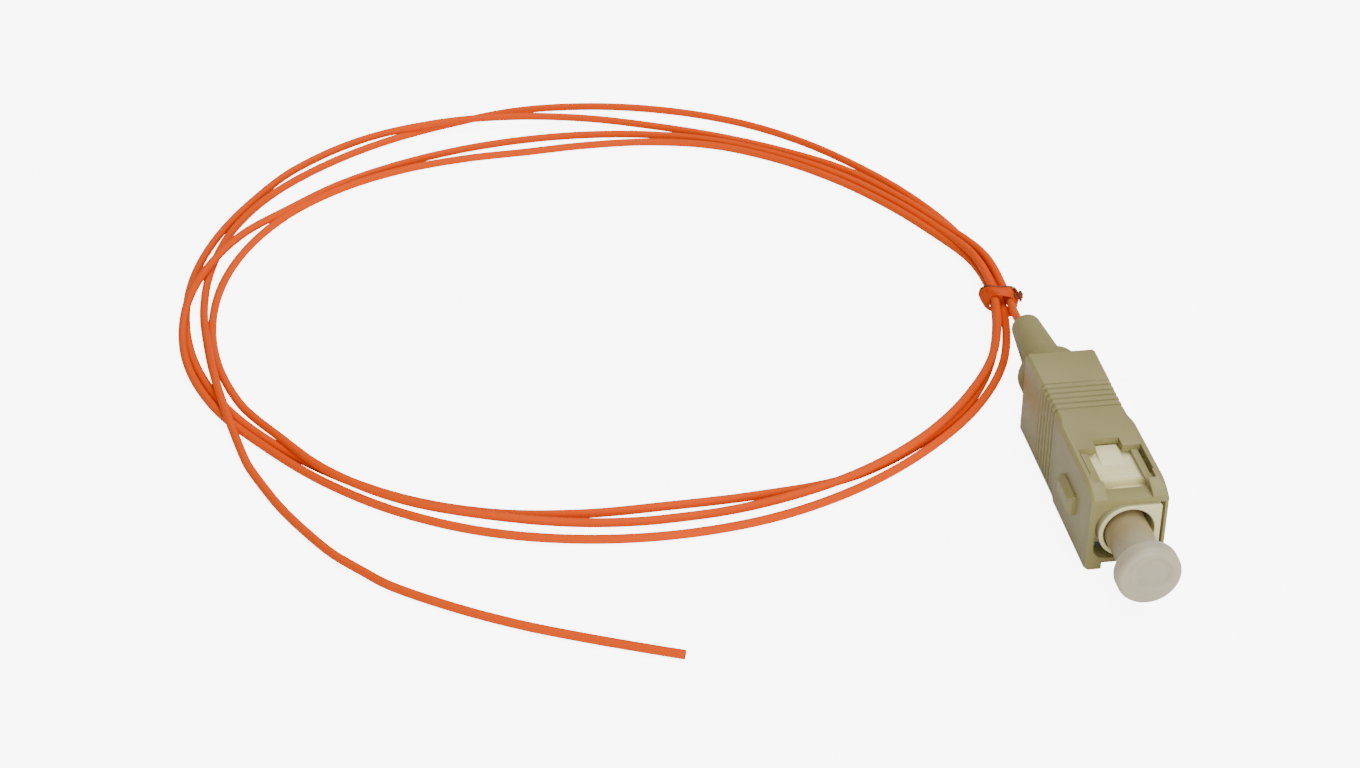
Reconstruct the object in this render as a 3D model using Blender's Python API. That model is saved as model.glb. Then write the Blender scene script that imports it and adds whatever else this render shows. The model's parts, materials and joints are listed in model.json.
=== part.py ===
"""A fibre optic pigtail: a push-pull plug with its dust cap and boot, and a tied coil of buffered fibre.

The origin is on the plug's underside, below its axis. +Y runs from the plug's front towards the fibre,
and +Z is up. Everything lies on the floor at Z = 0. Lengths along the plug are measured back from the
housing's front face, and depth_y() turns one into a Y.
"""

import math

import bmesh
import bpy
import numpy as np
from mathutils import Matrix, Vector

MM = 0.001

# Clearances
GAP = 0.3 * MM  # between pieces that touch on the real plug
BORE_PLAY = 0.2 * MM  # of the ferrule and its tail in their bores, on the radius

# Reach of a cutter past the surface that it opens, and into a neighbouring cut
CUT_OUTSIDE = 1.0 * MM
CUT_OVERLAP = 0.45 * MM

# Outer housing
HOUSING_WIDTH = 7.4 * MM
HOUSING_HEIGHT = 9.0 * MM
HOUSING_LENGTH = 24.0 * MM
HOUSING_CORNER = 0.3 * MM
CORNER_STEPS = 4
ORIGIN_DEPTH = 11.0 * MM
LEAD_IN_LENGTH = 2.2 * MM
LEAD_IN_TOP = 0.85 * MM
LEAD_IN_BOTTOM = 0.3 * MM
LEAD_IN_CURVE = 1.6  # how steeply the lead-in turns down towards the front
LEAD_IN_SHARES = (0.0, 0.25, 0.5, 0.75, 1.0)
SIDE_WALL = 0.6 * MM
TOP_WALL = 0.75 * MM
FRONT_SECTION = 11.2 * MM  # length of the straight front part, in front of the waist
WAIST_DEPTH = 12.7 * MM
WAIST_INSET = 0.3 * MM  # of the waist from the front part, on each side
RIDGES_START = 13.9 * MM
REAR_INSET = 0.15 * MM  # of the rear end from the front part, on each side
RIDGE_COUNT = 5
FIRST_RIDGE = 14.6 * MM
RIDGE_PITCH = 0.9 * MM
RIDGE_WIDTH = 0.45 * MM
RIDGE_FLANK = 0.1 * MM
GROOVE = 0.22 * MM
SHOULDER_DEPTH = 10.9 * MM  # where the wide front cavity ends
REAR_BORE_WIDTH = 5.5 * MM
REAR_BORE_HEIGHT = 6.0 * MM

# Latch windows in the two narrow faces, with a ledge down each side, and the bar in front of each
BAR_LENGTH = 1.9 * MM
BAR_DROP = 1.0 * MM  # of the bar's surface below the narrow face
BAR_THICKNESS = 0.5 * MM
BAR_RECESS_WIDTH = 4.3 * MM
WINDOW_MARGIN = 0.2 * MM  # of the window inside the cavity's walls
WINDOW_END = 7.25 * MM
LEDGE_WIDTH = 0.8 * MM
LEDGE_DROP = 0.5 * MM
SLOT_WIDTH = 0.3 * MM  # between each ledge and the side wall
SLOT_START = 3.2 * MM
NOTCH_WIDTH = 2.6 * MM
NOTCH_END = 8.6 * MM

# Mouth, whose corners are given from the lower right upwards and round, as seen from the front
MOUTH_CORNERS = (0.2 * MM, 0.2 * MM, 1.2 * MM, 1.2 * MM)

# Key on the broad face
KEY_START = 4.4 * MM
KEY_LENGTH = 4.0 * MM
KEY_WIDTH = 2.0 * MM
KEY_HEIGHT = 0.75 * MM
KEY_CORNER = 0.35 * MM

# Inner body
BODY_PLAY = 0.25 * MM  # to the housing above and below, and all round the tail
BODY_SIDE_PLAY = 0.15 * MM  # to the housing's cavity at each side
BODY_NOSE = 0.2 * MM  # stands out of the housing's front
NOSE_INSET = 0.05 * MM  # of the nose from the body, at each side
NOSE_PLAY = 0.2 * MM  # of the nose to the mouth, above and below
NOSE_CORNERS = (0.5 * MM, 0.5 * MM, 1.9 * MM, 1.9 * MM)  # in the same order as the mouth's
BODY_CORNER = 0.5 * MM
HOUSING_TRAVEL = 1.2 * MM  # of the housing on the inner body, backwards
STEP_PLAY = 0.15 * MM  # between the bar and the latch step at the end of that travel
TAB_STANDOUT = 0.25 * MM
TAB_PLAY = 0.2 * MM
BODY_TAIL_LENGTH = 2.3 * MM
BORE_DIAMETER = 4.85 * MM
BORE_DEPTH = 7.0 * MM
COLLAR_DEPTH = 8.2 * MM
COLLAR_BORE = 3.0 * MM

# Ferrule, its flange, and the rear body
FERRULE_DIAMETER = 2.5 * MM
FERRULE_REACH = 2.5 * MM  # ahead of the housing's front
FERRULE_CHAMFER = 0.25 * MM
FLANGE_DIAMETER = 4.1 * MM
FLANGE_LENGTH = 2.0 * MM
FLANGE_PLAY = 0.15 * MM
TAIL_DIAMETER = 2.6 * MM
TAIL_LENGTH = 4.6 * MM
REAR_BODY_DIAMETER = 5.0 * MM
REAR_BORE_LENGTH = 3.8 * MM
SPIGOT_DIAMETER = 2.4 * MM
SPIGOT_LENGTH = 4.6 * MM

# Boot
SLIDE_ROOM = 1.7 * MM  # between the housing's rear and the boot's collar
COLLAR_DIAMETER = 6.5 * MM
COLLAR_LENGTH = 1.7 * MM
COLLAR_ROUND = 0.3 * MM
FILLET_LENGTH = 2.6 * MM
BOOT_ROOT_DIAMETER = 4.1 * MM
BOOT_TIP_DIAMETER = 3.1 * MM
BOOT_LENGTH = 10.7 * MM
TIP_ROUND = 0.5 * MM
FILLET_SHARES = (0.0, 0.12, 0.3, 0.55, 1.0)

# Dust cap
CAP_STEM_DIAMETER = 4.05 * MM
CAP_STEM_OUTSIDE = 5.4 * MM
CAP_STEM_INSIDE = 5.0 * MM
CAP_DISC_DIAMETER = 6.1 * MM
CAP_DISC_THICKNESS = 1.5 * MM
CAP_DISC_ROUND = 0.35 * MM
CAP_BORE_FRONT = 4.9 * MM

# Fibre and its coil
FIBRE_DIAMETER = 0.9 * MM
TUBE_STEP = 2.2 * MM
COIL_CENTRE = Vector((-44.0 * MM, 45.0 * MM, 0.0))
TIE_ANGLE = -13.0
COIL_SOLID_STEPS = 90
COIL_CORNER = 0.2 * MM

# Twist tie
TIE_LENGTH = 1.0 * MM
TIE_THICKNESS = 0.5 * MM
TIE_TWIST_LENGTH = 1.0 * MM
TIE_TWIST_DIAMETER = 0.9 * MM
TIE_CORNER = 0.3 * MM

# Route of the free fibre behind the boot's tip, in mm from the origin
LEAD_ROUTE = (
    (-0.12, 26.6, 4.27),
    (-0.18, 27.4, 4.05),
    (-0.06, 28.6, 3.7),
    (0.14, 30.1, 3.28),
    (0.42, 32.0, 2.85),
)

# Each turn from the tie round to the tie: (angle in degrees, radius in mm, height in mm) of the fibre
TURNS = (
    (
        (-13, 46.1, 1.9), (0, 44.6, 1.85), (12, 43.0, 0.85), (25, 42.0, 0.45), (38, 41.3, 0.45),
        (50, 40.2, 0.45), (62, 40.0, 0.5), (74, 40.3, 0.65), (86, 41.0, 1.1), (98, 42.1, 1.35),
        (109, 43.4, 1.35), (120, 45.1, 0.8), (131, 45.3, 0.45), (145, 44.1, 0.45), (162, 43.4, 0.45),
        (180, 42.8, 0.45), (200, 42.2, 0.45), (220, 41.4, 0.45), (240, 41.4, 0.45), (256, 41.0, 0.45),
        (271, 40.3, 0.45), (284, 41.2, 0.45), (300, 44.0, 0.45), (312, 44.9, 0.45), (322, 45.4, 0.45),
        (333, 45.15, 0.45), (340, 45.0, 0.7),
    ),
    (
        (-13, 44.5, 1.3), (0, 43.3, 1.0), (13, 41.1, 0.45), (28, 39.3, 0.45), (45, 38.3, 0.45),
        (60, 37.5, 0.45), (76, 35.6, 0.45), (92, 34.0, 0.45), (108, 34.9, 0.45), (125, 36.9, 0.45),
        (142, 38.6, 0.45), (160, 39.5, 0.45), (180, 40.0, 0.45), (196, 40.4, 0.45), (205, 40.6, 0.45),
        (212, 40.7, 0.8), (219, 41.2, 1.3), (228, 42.2, 1.35), (240, 42.8, 1.4), (252, 42.8, 1.35),
        (262, 42.5, 0.8), (272, 42.4, 0.45), (284, 43.0, 0.5), (300, 44.8, 1.35), (312, 45.1, 1.35),
        (322, 45.2, 1.35), (333, 45.3, 1.4), (340, 45.05, 1.75),
    ),
    (
        (-13, 44.5, 2.2), (0, 43.4, 1.9), (12, 42.0, 0.8), (26, 40.7, 0.45), (45, 39.4, 0.45),
        (62, 38.7, 0.45), (80, 37.6, 0.45), (97, 37.1, 0.45), (114, 37.4, 0.45), (130, 38.4, 0.5),
        (144, 39.2, 0.8), (156, 40.7, 1.35), (168, 42.0, 1.4), (182, 43.1, 1.35), (191, 43.4, 0.85),
        (200, 43.2, 0.45), (216, 42.5, 0.45), (230, 43.0, 0.45), (248, 44.1, 0.45), (268, 44.9, 0.45),
        (290, 45.7, 0.45), (308, 45.95, 0.45), (326, 46.45, 0.45), (336, 46.35, 0.5), (341, 45.95, 0.75),
    ),
)

# The last, part turn, which leaves the coil at its left
LAST_TURN = (
    (-13, 45.4, 1.3), (0, 44.3, 0.95), (12, 43.8, 0.5), (25, 43.2, 0.45), (38, 43.2, 0.45),
    (51, 44.0, 0.45), (64, 44.6, 0.45), (78, 44.9, 0.45), (90, 45.1, 0.45), (102, 44.1, 0.45),
    (116, 43.6, 0.45), (132, 43.3, 0.45), (146, 43.1, 0.45), (158, 42.2, 0.45), (170, 41.3, 0.6),
    (182, 40.8, 0.95), (192, 41.0, 1.3), (200, 41.9, 1.4), (208, 43.2, 1.3), (216, 45.2, 0.75),
    (221, 46.9, 0.45),
)
COIL_LEAVING_ANGLE = 207.0  # where the solid of the coil stops following the last turn
TAIL_ANGLE = 211.5

# Route of the free end, in mm from the origin
TAIL_ROUTE = (
    (-80.9, 18.6, 0.7),
    (-79.7, 15.2, 0.45),
    (-77.6, 10.1, 0.45),
    (-75.5, 6.1, 0.45),
    (-73.0, 2.0, 0.45),
    (-70.5, -1.0, 0.45),
    (-67.7, -4.0, 0.45),
    (-62.1, -8.1, 0.45),
    (-56.6, -11.4, 0.45),
    (-51.1, -14.1, 0.45),
    (-45.7, -16.5, 0.45),
    (-42.4, -17.9, 0.45),
)

# Derived places
AXIS_Z = HOUSING_HEIGHT / 2
CAVITY_WIDTH = HOUSING_WIDTH - 2 * SIDE_WALL
CAVITY_HEIGHT = HOUSING_HEIGHT - 2 * TOP_WALL
WINDOW_WIDTH = CAVITY_WIDTH - 2 * WINDOW_MARGIN
MOUTH_HEIGHT = HOUSING_HEIGHT - 2 * (BAR_DROP + BAR_THICKNESS)
NOSE_HEIGHT = MOUTH_HEIGHT - 2 * NOSE_PLAY
BODY_WIDTH = CAVITY_WIDTH - 2 * BODY_SIDE_PLAY
NOSE_WIDTH = BODY_WIDTH - 2 * NOSE_INSET
BODY_HEIGHT = CAVITY_HEIGHT - 2 * BODY_PLAY
LATCH_STEP = BAR_LENGTH + HOUSING_TRAVEL + STEP_PLAY
BODY_END = SHOULDER_DEPTH - GAP
BODY_TAIL_END = BODY_END + BODY_TAIL_LENGTH
BODY_TAIL_WIDTH = REAR_BORE_WIDTH - 2 * BODY_PLAY
BODY_TAIL_HEIGHT = REAR_BORE_HEIGHT - 2 * BODY_PLAY
REAR_CHAMBER = FLANGE_DIAMETER + 2 * FLANGE_PLAY
FLANGE_START = COLLAR_DEPTH + FLANGE_PLAY
FERRULE_END = FLANGE_START - GAP
REAR_BODY_START = BODY_TAIL_END + GAP
COLLAR_START = HOUSING_LENGTH + SLIDE_ROOM
REAR_BODY_END = COLLAR_START - GAP
BOOT_END = COLLAR_START + BOOT_LENGTH
SPIGOT_END = REAR_BODY_END + SPIGOT_LENGTH
FIBRE_START = SPIGOT_END + GAP
FIBRE_RADIUS = FIBRE_DIAMETER / 2

# Colours
BEIGE = (0.300, 0.262, 0.150)
BEIGE_BOOT = (0.285, 0.250, 0.145)
CREAM = (0.610, 0.578, 0.428)
CERAMIC = (0.800, 0.790, 0.750)
METAL = (0.560, 0.560, 0.560)
FROSTED = (0.640, 0.610, 0.545)
ORANGE = (0.780, 0.110, 0.012)
TIE_ORANGE = (0.600, 0.080, 0.010)


def depth_y(depth):
    """Y of a point this far behind the housing's front face."""
    return depth - ORIGIN_DEPTH


def clear_scene():
    for obj in list(bpy.data.objects):
        bpy.data.objects.remove(obj, do_unlink=True)


def material(name, colour, roughness, metallic=0.0):
    made = bpy.data.materials.new(name)
    made.use_nodes = True
    shader = made.node_tree.nodes["Principled BSDF"]
    shader.inputs["Base Color"].default_value = (*colour, 1.0)
    shader.inputs["Roughness"].default_value = roughness
    shader.inputs["Metallic"].default_value = metallic
    made.diffuse_color = (*colour, 1.0)
    return made


def add_object(name, mesh, finish=None):
    obj = bpy.data.objects.new(name, mesh)
    bpy.context.scene.collection.objects.link(obj)
    if finish is not None:
        mesh.materials.append(finish)
    return obj


def object_of(name, shape, finish=None, sharp_degrees=35):
    """Turns a finished bmesh into an object, with its faces pointing outwards."""
    bmesh.ops.recalc_face_normals(shape, faces=shape.faces)
    mesh = bpy.data.meshes.new(name)
    shape.to_mesh(mesh)
    shape.free()
    mesh.shade_smooth()
    mesh.set_sharp_from_angle(angle=math.radians(sharp_degrees))
    return add_object(name, mesh, finish)


def helper(obj):
    """Marks an object that only shapes another one."""
    obj.hide_render = True
    obj.display_type = "WIRE"
    return obj


def boolean(target, other, operation):
    step = target.modifiers.new(other.name, "BOOLEAN")
    step.operation = operation
    step.solver = "EXACT"
    step.object = helper(other)


def block(name, x_range, y_range, z_range):
    """A box between two values along each axis."""
    shape = bmesh.new()
    low, high = zip(x_range, y_range, z_range)
    size = Vector(high) - Vector(low)
    centre = (Vector(high) + Vector(low)) / 2
    place = Matrix.Translation(centre) @ Matrix.Diagonal((*size, 1.0))
    bmesh.ops.create_cube(shape, size=1.0, matrix=place)
    return object_of(name, shape)


def centred_block(name, width, depths, heights):
    """A box centred across the plug, between two depths and two heights."""
    y_range = (depth_y(depths[0]), depth_y(depths[1]))
    return block(name, (-width / 2, width / 2), y_range, heights)


def section(depth, width, bottom, top, corner):
    """Outline across the plug at one depth: a rectangle with cut corners, as eight points."""
    x, y = width / 2, depth_y(depth)
    return [
        (x, y, bottom + corner), (x, y, top - corner), (x - corner, y, top), (corner - x, y, top),
        (-x, y, top - corner), (-x, y, bottom + corner), (corner - x, y, bottom), (x - corner, y, bottom),
    ]


def rounded(depth, width, heights, corners):
    """Outline across the plug at one depth: a rectangle whose four corners are arcs.

    The corners' radii start at the lower right, as seen from the front, and go up and round.
    """
    points = []
    for turn, radius in enumerate(corners):
        side = 1 if turn < 2 else -1
        x = side * (width / 2 - radius)
        z = heights[1] - radius if turn in (1, 2) else heights[0] + radius
        for angle in np.linspace(math.radians(90 * turn - 90), math.radians(90 * turn), CORNER_STEPS + 1):
            points.append((x + radius * math.cos(angle), depth_y(depth), z + radius * math.sin(angle)))
    return points


def lofted(name, sections, finish=None, closed=False):
    """A solid through outlines that have the same number of points, capped unless it closes on itself."""
    shape = bmesh.new()
    rings = [[shape.verts.new(point) for point in outline] for outline in sections]
    pairs = list(zip(rings, rings[1:] + rings[:1])) if closed else list(zip(rings, rings[1:]))
    for first, second in pairs:
        for i in range(len(first)):
            j = (i + 1) % len(first)
            shape.faces.new((first[i], first[j], second[j], second[i]))
    if not closed:
        shape.faces.new(rings[0])
        shape.faces.new(rings[-1])
    return object_of(name, shape, finish)


def turned(name, profile, finish=None, steps=48):
    """A solid of revolution about the plug's axis, from an outline of (depth, radius) points.

    The outline closes on itself, or else starts and ends on the axis.
    """
    shape = bmesh.new()
    points = [shape.verts.new((0.0, depth_y(depth), AXIS_Z + radius)) for depth, radius in profile]
    edges = [shape.edges.new(pair) for pair in zip(points, points[1:])]
    if profile[0][1] > 0 or profile[-1][1] > 0:
        edges.append(shape.edges.new((points[-1], points[0])))
    bmesh.ops.spin(
        shape,
        geom=points + edges,
        cent=(0.0, 0.0, AXIS_Z),
        axis=(0.0, 1.0, 0.0),
        angle=math.tau,
        steps=steps,
        use_merge=True,
    )
    bmesh.ops.remove_doubles(shape, verts=shape.verts, dist=1e-7)
    return object_of(name, shape, finish)


def arc(centre_depth, centre_radius, size, start, end, steps=5):
    """Points of (depth, radius) on an arc in a turned outline, between two angles in degrees."""
    angles = np.radians(np.linspace(start, end, steps + 1))
    return [(centre_depth + size * math.cos(a), centre_radius + size * math.sin(a)) for a in angles]


def housing_width(depth):
    """Width of the housing at one depth: straight, stepped in at the waist, then widening to the rear."""
    depths = (0, FRONT_SECTION, WAIST_DEPTH, RIDGES_START, HOUSING_LENGTH)
    insets = (0, 0, WAIST_INSET, WAIST_INSET, REAR_INSET)
    return HOUSING_WIDTH - 2 * float(np.interp(depth, depths, insets))


def housing_sections():
    sections = []
    for part in LEAD_IN_SHARES:
        top = HOUSING_HEIGHT - LEAD_IN_TOP * (1 - part) ** LEAD_IN_CURVE
        bottom = LEAD_IN_BOTTOM * max(0.0, 1 - part / LEAD_IN_SHARES[1])
        sections.append(section(part * LEAD_IN_LENGTH, HOUSING_WIDTH, bottom, top, HOUSING_CORNER))
    for depth in (FRONT_SECTION, WAIST_DEPTH, RIDGES_START):
        sections.append(section(depth, housing_width(depth), 0.0, HOUSING_HEIGHT, HOUSING_CORNER))
    crest = RIDGE_WIDTH / 2
    foot = crest + RIDGE_FLANK
    for i in range(RIDGE_COUNT):
        middle = FIRST_RIDGE + i * RIDGE_PITCH
        for offset, inset in ((-foot, GROOVE), (-crest, 0.0), (crest, 0.0), (foot, GROOVE)):
            depth = middle + offset
            width = housing_width(depth) - 2 * inset
            sections.append(section(depth, width, inset, HOUSING_HEIGHT - inset, HOUSING_CORNER))
    last_ridge = FIRST_RIDGE + (RIDGE_COUNT - 1) * RIDGE_PITCH
    for depth in (last_ridge + foot + RIDGE_FLANK, HOUSING_LENGTH):
        sections.append(section(depth, housing_width(depth), 0.0, HOUSING_HEIGHT, HOUSING_CORNER))
    return sections


def make_outer_housing():
    finish = material("housing_beige", BEIGE, 0.42)
    housing = lofted("outer_housing", housing_sections(), finish)
    cavity = (AXIS_Z - CAVITY_HEIGHT / 2, AXIS_Z + CAVITY_HEIGHT / 2)
    mouth = (AXIS_Z - MOUTH_HEIGHT / 2, AXIS_Z + MOUTH_HEIGHT / 2)
    rear = (AXIS_Z - REAR_BORE_HEIGHT / 2, AXIS_Z + REAR_BORE_HEIGHT / 2)
    mouth_depths = (-CUT_OUTSIDE, BAR_LENGTH + CUT_OVERLAP)
    rear_depths = (SHOULDER_DEPTH - CUT_OVERLAP, HOUSING_LENGTH + CUT_OUTSIDE)
    cuts = [
        centred_block("cut_cavity", CAVITY_WIDTH, (BAR_LENGTH, SHOULDER_DEPTH), cavity),
        lofted("cut_mouth", [rounded(depth, CAVITY_WIDTH, mouth, MOUTH_CORNERS) for depth in mouth_depths]),
        centred_block("cut_rear", REAR_BORE_WIDTH, rear_depths, rear),
    ]
    for side, name in ((1, "top"), (-1, "bottom")):
        cuts += window_cuts(side, name)
    for cut in cuts:
        boolean(housing, cut, "DIFFERENCE")
    boolean(housing, make_key(), "UNION")


def window_cuts(side, name):
    """The cutters of one latch window: through the wall, above its ledges, the slots and the bar."""
    outside = AXIS_Z + CUT_OUTSIDE
    skin = sorted(AXIS_Z + side * height for height in (CAVITY_HEIGHT / 2 - CUT_OVERLAP, outside))
    ledge = sorted(AXIS_Z + side * height for height in (AXIS_Z - LEDGE_DROP, outside))
    over_bar = sorted(AXIS_Z + side * height for height in (AXIS_Z - BAR_DROP, outside))
    through = WINDOW_WIDTH - 2 * LEDGE_WIDTH
    bar_depths = (-CUT_OUTSIDE, BAR_LENGTH + CUT_OVERLAP)
    cuts = [
        centred_block(f"cut_window_{name}", through, (BAR_LENGTH, WINDOW_END), skin),
        centred_block(f"cut_ledges_{name}", WINDOW_WIDTH, (BAR_LENGTH, WINDOW_END), ledge),
        centred_block(f"cut_notch_{name}", NOTCH_WIDTH, (WINDOW_END - CUT_OVERLAP, NOTCH_END), skin),
        centred_block(f"cut_bar_{name}", BAR_RECESS_WIDTH, bar_depths, over_bar),
    ]
    for hand in (1, -1):
        middle = hand * WINDOW_WIDTH / 2
        x_range = (middle - SLOT_WIDTH / 2, middle + SLOT_WIDTH / 2)
        y_range = (depth_y(SLOT_START), depth_y(WINDOW_END))
        cuts.append(block(f"cut_slot_{name}_{hand}", x_range, y_range, skin))
    return cuts


def make_key():
    """The key on the left broad face, rooted in the side wall, with its outer edges cut back."""
    root = -HOUSING_WIDTH / 2 + SIDE_WALL / 2
    outer = -HOUSING_WIDTH / 2 - KEY_HEIGHT
    start, end = depth_y(KEY_START), depth_y(KEY_START + KEY_LENGTH)
    low, high = AXIS_Z - KEY_WIDTH / 2, AXIS_Z + KEY_WIDTH / 2
    outlines = []
    for x, inset in ((root, 0.0), (outer + KEY_CORNER, 0.0), (outer, KEY_CORNER)):
        outlines.append([
            (x, start + inset, low + inset), (x, end - inset, low + inset),
            (x, end - inset, high - inset), (x, start + inset, high - inset),
        ])
    return lofted("key_shape", outlines)


def make_inner_body():
    finish = material("body_cream", CREAM, 0.38)
    nose = (AXIS_Z - NOSE_HEIGHT / 2, AXIS_Z + NOSE_HEIGHT / 2)
    full = (AXIS_Z - BODY_HEIGHT / 2, AXIS_Z + BODY_HEIGHT / 2)
    tail = (AXIS_Z - BODY_TAIL_HEIGHT / 2, AXIS_Z + BODY_TAIL_HEIGHT / 2)
    corners = (BODY_CORNER,) * 4
    sections = [
        rounded(-BODY_NOSE, NOSE_WIDTH, nose, NOSE_CORNERS),
        rounded(LATCH_STEP, NOSE_WIDTH, nose, NOSE_CORNERS),
        rounded(LATCH_STEP, BODY_WIDTH, full, corners),
        rounded(BODY_END, BODY_WIDTH, full, corners),
        rounded(BODY_END, BODY_TAIL_WIDTH, tail, corners),
        rounded(BODY_TAIL_END, BODY_TAIL_WIDTH, tail, corners),
    ]
    body = lofted("inner_body", sections, finish)
    tab = (full[0] - TAB_STANDOUT, full[1] + TAB_STANDOUT)
    tab_depths = (WINDOW_END + TAB_PLAY, NOTCH_END - BODY_PLAY)
    boolean(body, centred_block("tab_shape", NOTCH_WIDTH - 2 * TAB_PLAY, tab_depths, tab), "UNION")
    front, collar, rear = BORE_DIAMETER / 2, COLLAR_BORE / 2, REAR_CHAMBER / 2
    start, end = -CUT_OUTSIDE, BODY_TAIL_END + CUT_OUTSIDE
    profile = [
        (start, 0.0), (start, front), (BORE_DEPTH, front), (BORE_DEPTH, collar),
        (COLLAR_DEPTH, collar), (COLLAR_DEPTH, rear), (end, rear), (end, 0.0),
    ]
    boolean(body, turned("bore_shape", profile), "DIFFERENCE")


def make_ferrule():
    radius = FERRULE_DIAMETER / 2
    front = -FERRULE_REACH
    profile = [
        (front, 0.0), (front, radius - FERRULE_CHAMFER), (front + FERRULE_CHAMFER, radius),
        (FERRULE_END, radius), (FERRULE_END, 0.0),
    ]
    turned("ferrule", profile, material("ferrule_ceramic", CERAMIC, 0.2), steps=32)


def make_ferrule_flange():
    flange, tail = FLANGE_DIAMETER / 2, TAIL_DIAMETER / 2
    end = FLANGE_START + FLANGE_LENGTH
    profile = [
        (FLANGE_START, 0.0), (FLANGE_START, flange), (end, flange), (end, tail),
        (end + TAIL_LENGTH, tail), (end + TAIL_LENGTH, 0.0),
    ]
    turned("ferrule_flange", profile, material("flange_metal", METAL, 0.35, 1.0), steps=32)


def make_rear_body():
    outer, bore, spigot = REAR_BODY_DIAMETER / 2, TAIL_DIAMETER / 2 + BORE_PLAY, SPIGOT_DIAMETER / 2
    bore_end = REAR_BODY_START + REAR_BORE_LENGTH
    profile = [
        (bore_end, 0.0), (bore_end, bore), (REAR_BODY_START, bore), (REAR_BODY_START, outer),
        (REAR_BODY_END, outer), (REAR_BODY_END, spigot), (SPIGOT_END, spigot), (SPIGOT_END, 0.0),
    ]
    turned("rear_body", profile, material("rear_metal", METAL, 0.35, 1.0), steps=32)


def make_boot():
    collar, root, tip = COLLAR_DIAMETER / 2, BOOT_ROOT_DIAMETER / 2, BOOT_TIP_DIAMETER / 2
    spigot_bore, fibre_bore = SPIGOT_DIAMETER / 2 + GAP, FIBRE_RADIUS + GAP
    start, collar_end = COLLAR_START, COLLAR_START + COLLAR_LENGTH
    step = collar - COLLAR_ROUND
    profile = [(start, spigot_bore), (start, step)]
    profile += arc(start + COLLAR_ROUND, step, COLLAR_ROUND, 180, 90, 3)[1:]
    profile += arc(collar_end - COLLAR_ROUND, step, COLLAR_ROUND, 90, 0, 3)
    fillet_top = step - COLLAR_ROUND / 2
    for part in FILLET_SHARES:
        radius = root + (fillet_top - root) * (1 - part) ** 3
        profile.append((collar_end + part * FILLET_LENGTH, radius))
    profile += arc(BOOT_END - TIP_ROUND, tip - TIP_ROUND, TIP_ROUND, 90, 0, 4)
    profile += [(BOOT_END, fibre_bore), (FIBRE_START, fibre_bore), (FIBRE_START, spigot_bore)]
    turned("boot", profile, material("boot_beige", BEIGE_BOOT, 0.5))


def make_dust_cap():
    stem, disc = CAP_STEM_DIAMETER / 2, CAP_DISC_DIAMETER / 2
    bore = FERRULE_DIAMETER / 2 + BORE_PLAY
    inner, outer = -CAP_STEM_OUTSIDE, -CAP_STEM_OUTSIDE - CAP_DISC_THICKNESS
    rounding = CAP_DISC_ROUND
    profile = [(-CAP_BORE_FRONT, 0.0), (-CAP_BORE_FRONT, bore), (CAP_STEM_INSIDE, bore)]
    profile += [(CAP_STEM_INSIDE, stem), (inner, stem)]
    profile += arc(inner - rounding, disc - rounding, rounding, 0, 90, 4)
    profile += arc(outer + rounding, disc - rounding, rounding, 90, 180, 4)
    profile.append((outer, 0.0))
    turned("dust_cap", profile, material("cap_frosted", FROSTED, 0.45))


def smooth_value(at, knots, column):
    """Catmull-Rom value of one column of knots, which are ordered by their first column."""
    i = 1
    while i < len(knots) - 2 and knots[i + 1][0] < at:
        i += 1
    (x0, p0), (x1, p1), (x2, p2), (x3, p3) = [(k[0], k[column]) for k in knots[i - 1:i + 3]]
    span = x2 - x1
    t = (at - x1) / span
    m1 = span * (p2 - p0) / (x2 - x0)
    m2 = span * (p3 - p1) / (x3 - x1)
    return (
        (2 * t**3 - 3 * t**2 + 1) * p1 + (t**3 - 2 * t**2 + t) * m1
        + (3 * t**2 - 2 * t**3) * p2 + (t**3 - t**2) * m2
    )


def with_neighbours(turn, before, after):
    """A turn's knots with one more on each side, so that it runs smoothly into its neighbours."""
    first = (before[-1][0] - 360, *before[-1][1:])
    last = [(knot[0] + 360, *knot[1:]) for knot in after[:2]]
    return [first, *turn, *last]


def fibre_turns():
    """The knots of every turn, ready for smooth_value, and the last angle of each."""
    turns = [*TURNS, LAST_TURN]
    ready = []
    for i, turn in enumerate(turns):
        before = turns[i - 1] if i else TURNS[-1]
        if turn is LAST_TURN:
            ready.append((with_neighbours(turn, before, ()), TAIL_ANGLE))
        else:
            ready.append((with_neighbours(turn, before, turns[i + 1]), 360 + TIE_ANGLE))
    return ready


def coil_point(angle, radius, height):
    """Point at an angle and radius about the coil's centre, with radius and height in mm."""
    a = math.radians(angle)
    return COIL_CENTRE + Vector((radius * MM * math.cos(a), radius * MM * math.sin(a), height * MM))


def coil_limits(angle):
    """Least and greatest radius and height, in mm, of the strands that cross one angle."""
    strands = []
    for i, (knots, _) in enumerate(fibre_turns()):
        if i < len(TURNS) or angle < COIL_LEAVING_ANGLE:
            strands.append((smooth_value(angle, knots, 1), smooth_value(angle, knots, 2)))
    radii, heights = zip(*strands)
    return min(radii), max(radii), min(heights), max(heights)


def make_fibre_coil(finish):
    """One solid of the outer shape of the turns: a flat ring that is widest at the back."""
    radius = FIBRE_RADIUS / MM
    corner = COIL_CORNER / MM
    outlines = []
    for angle in np.linspace(TIE_ANGLE, TIE_ANGLE + 360, COIL_SOLID_STEPS, endpoint=False):
        inner, outer, low, high = coil_limits(angle)
        inner, outer, high = inner - radius, outer + radius, high + radius
        low = max(0.0, low - radius)
        outlines.append([
            coil_point(angle, r, z)
            for r, z in (
                (inner, low), (inner, high - corner), (inner + corner, high),
                (outer - corner, high), (outer, high - corner), (outer, low),
            )
        ])
    lofted("fibre_coil", outlines, finish, closed=True)


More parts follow.
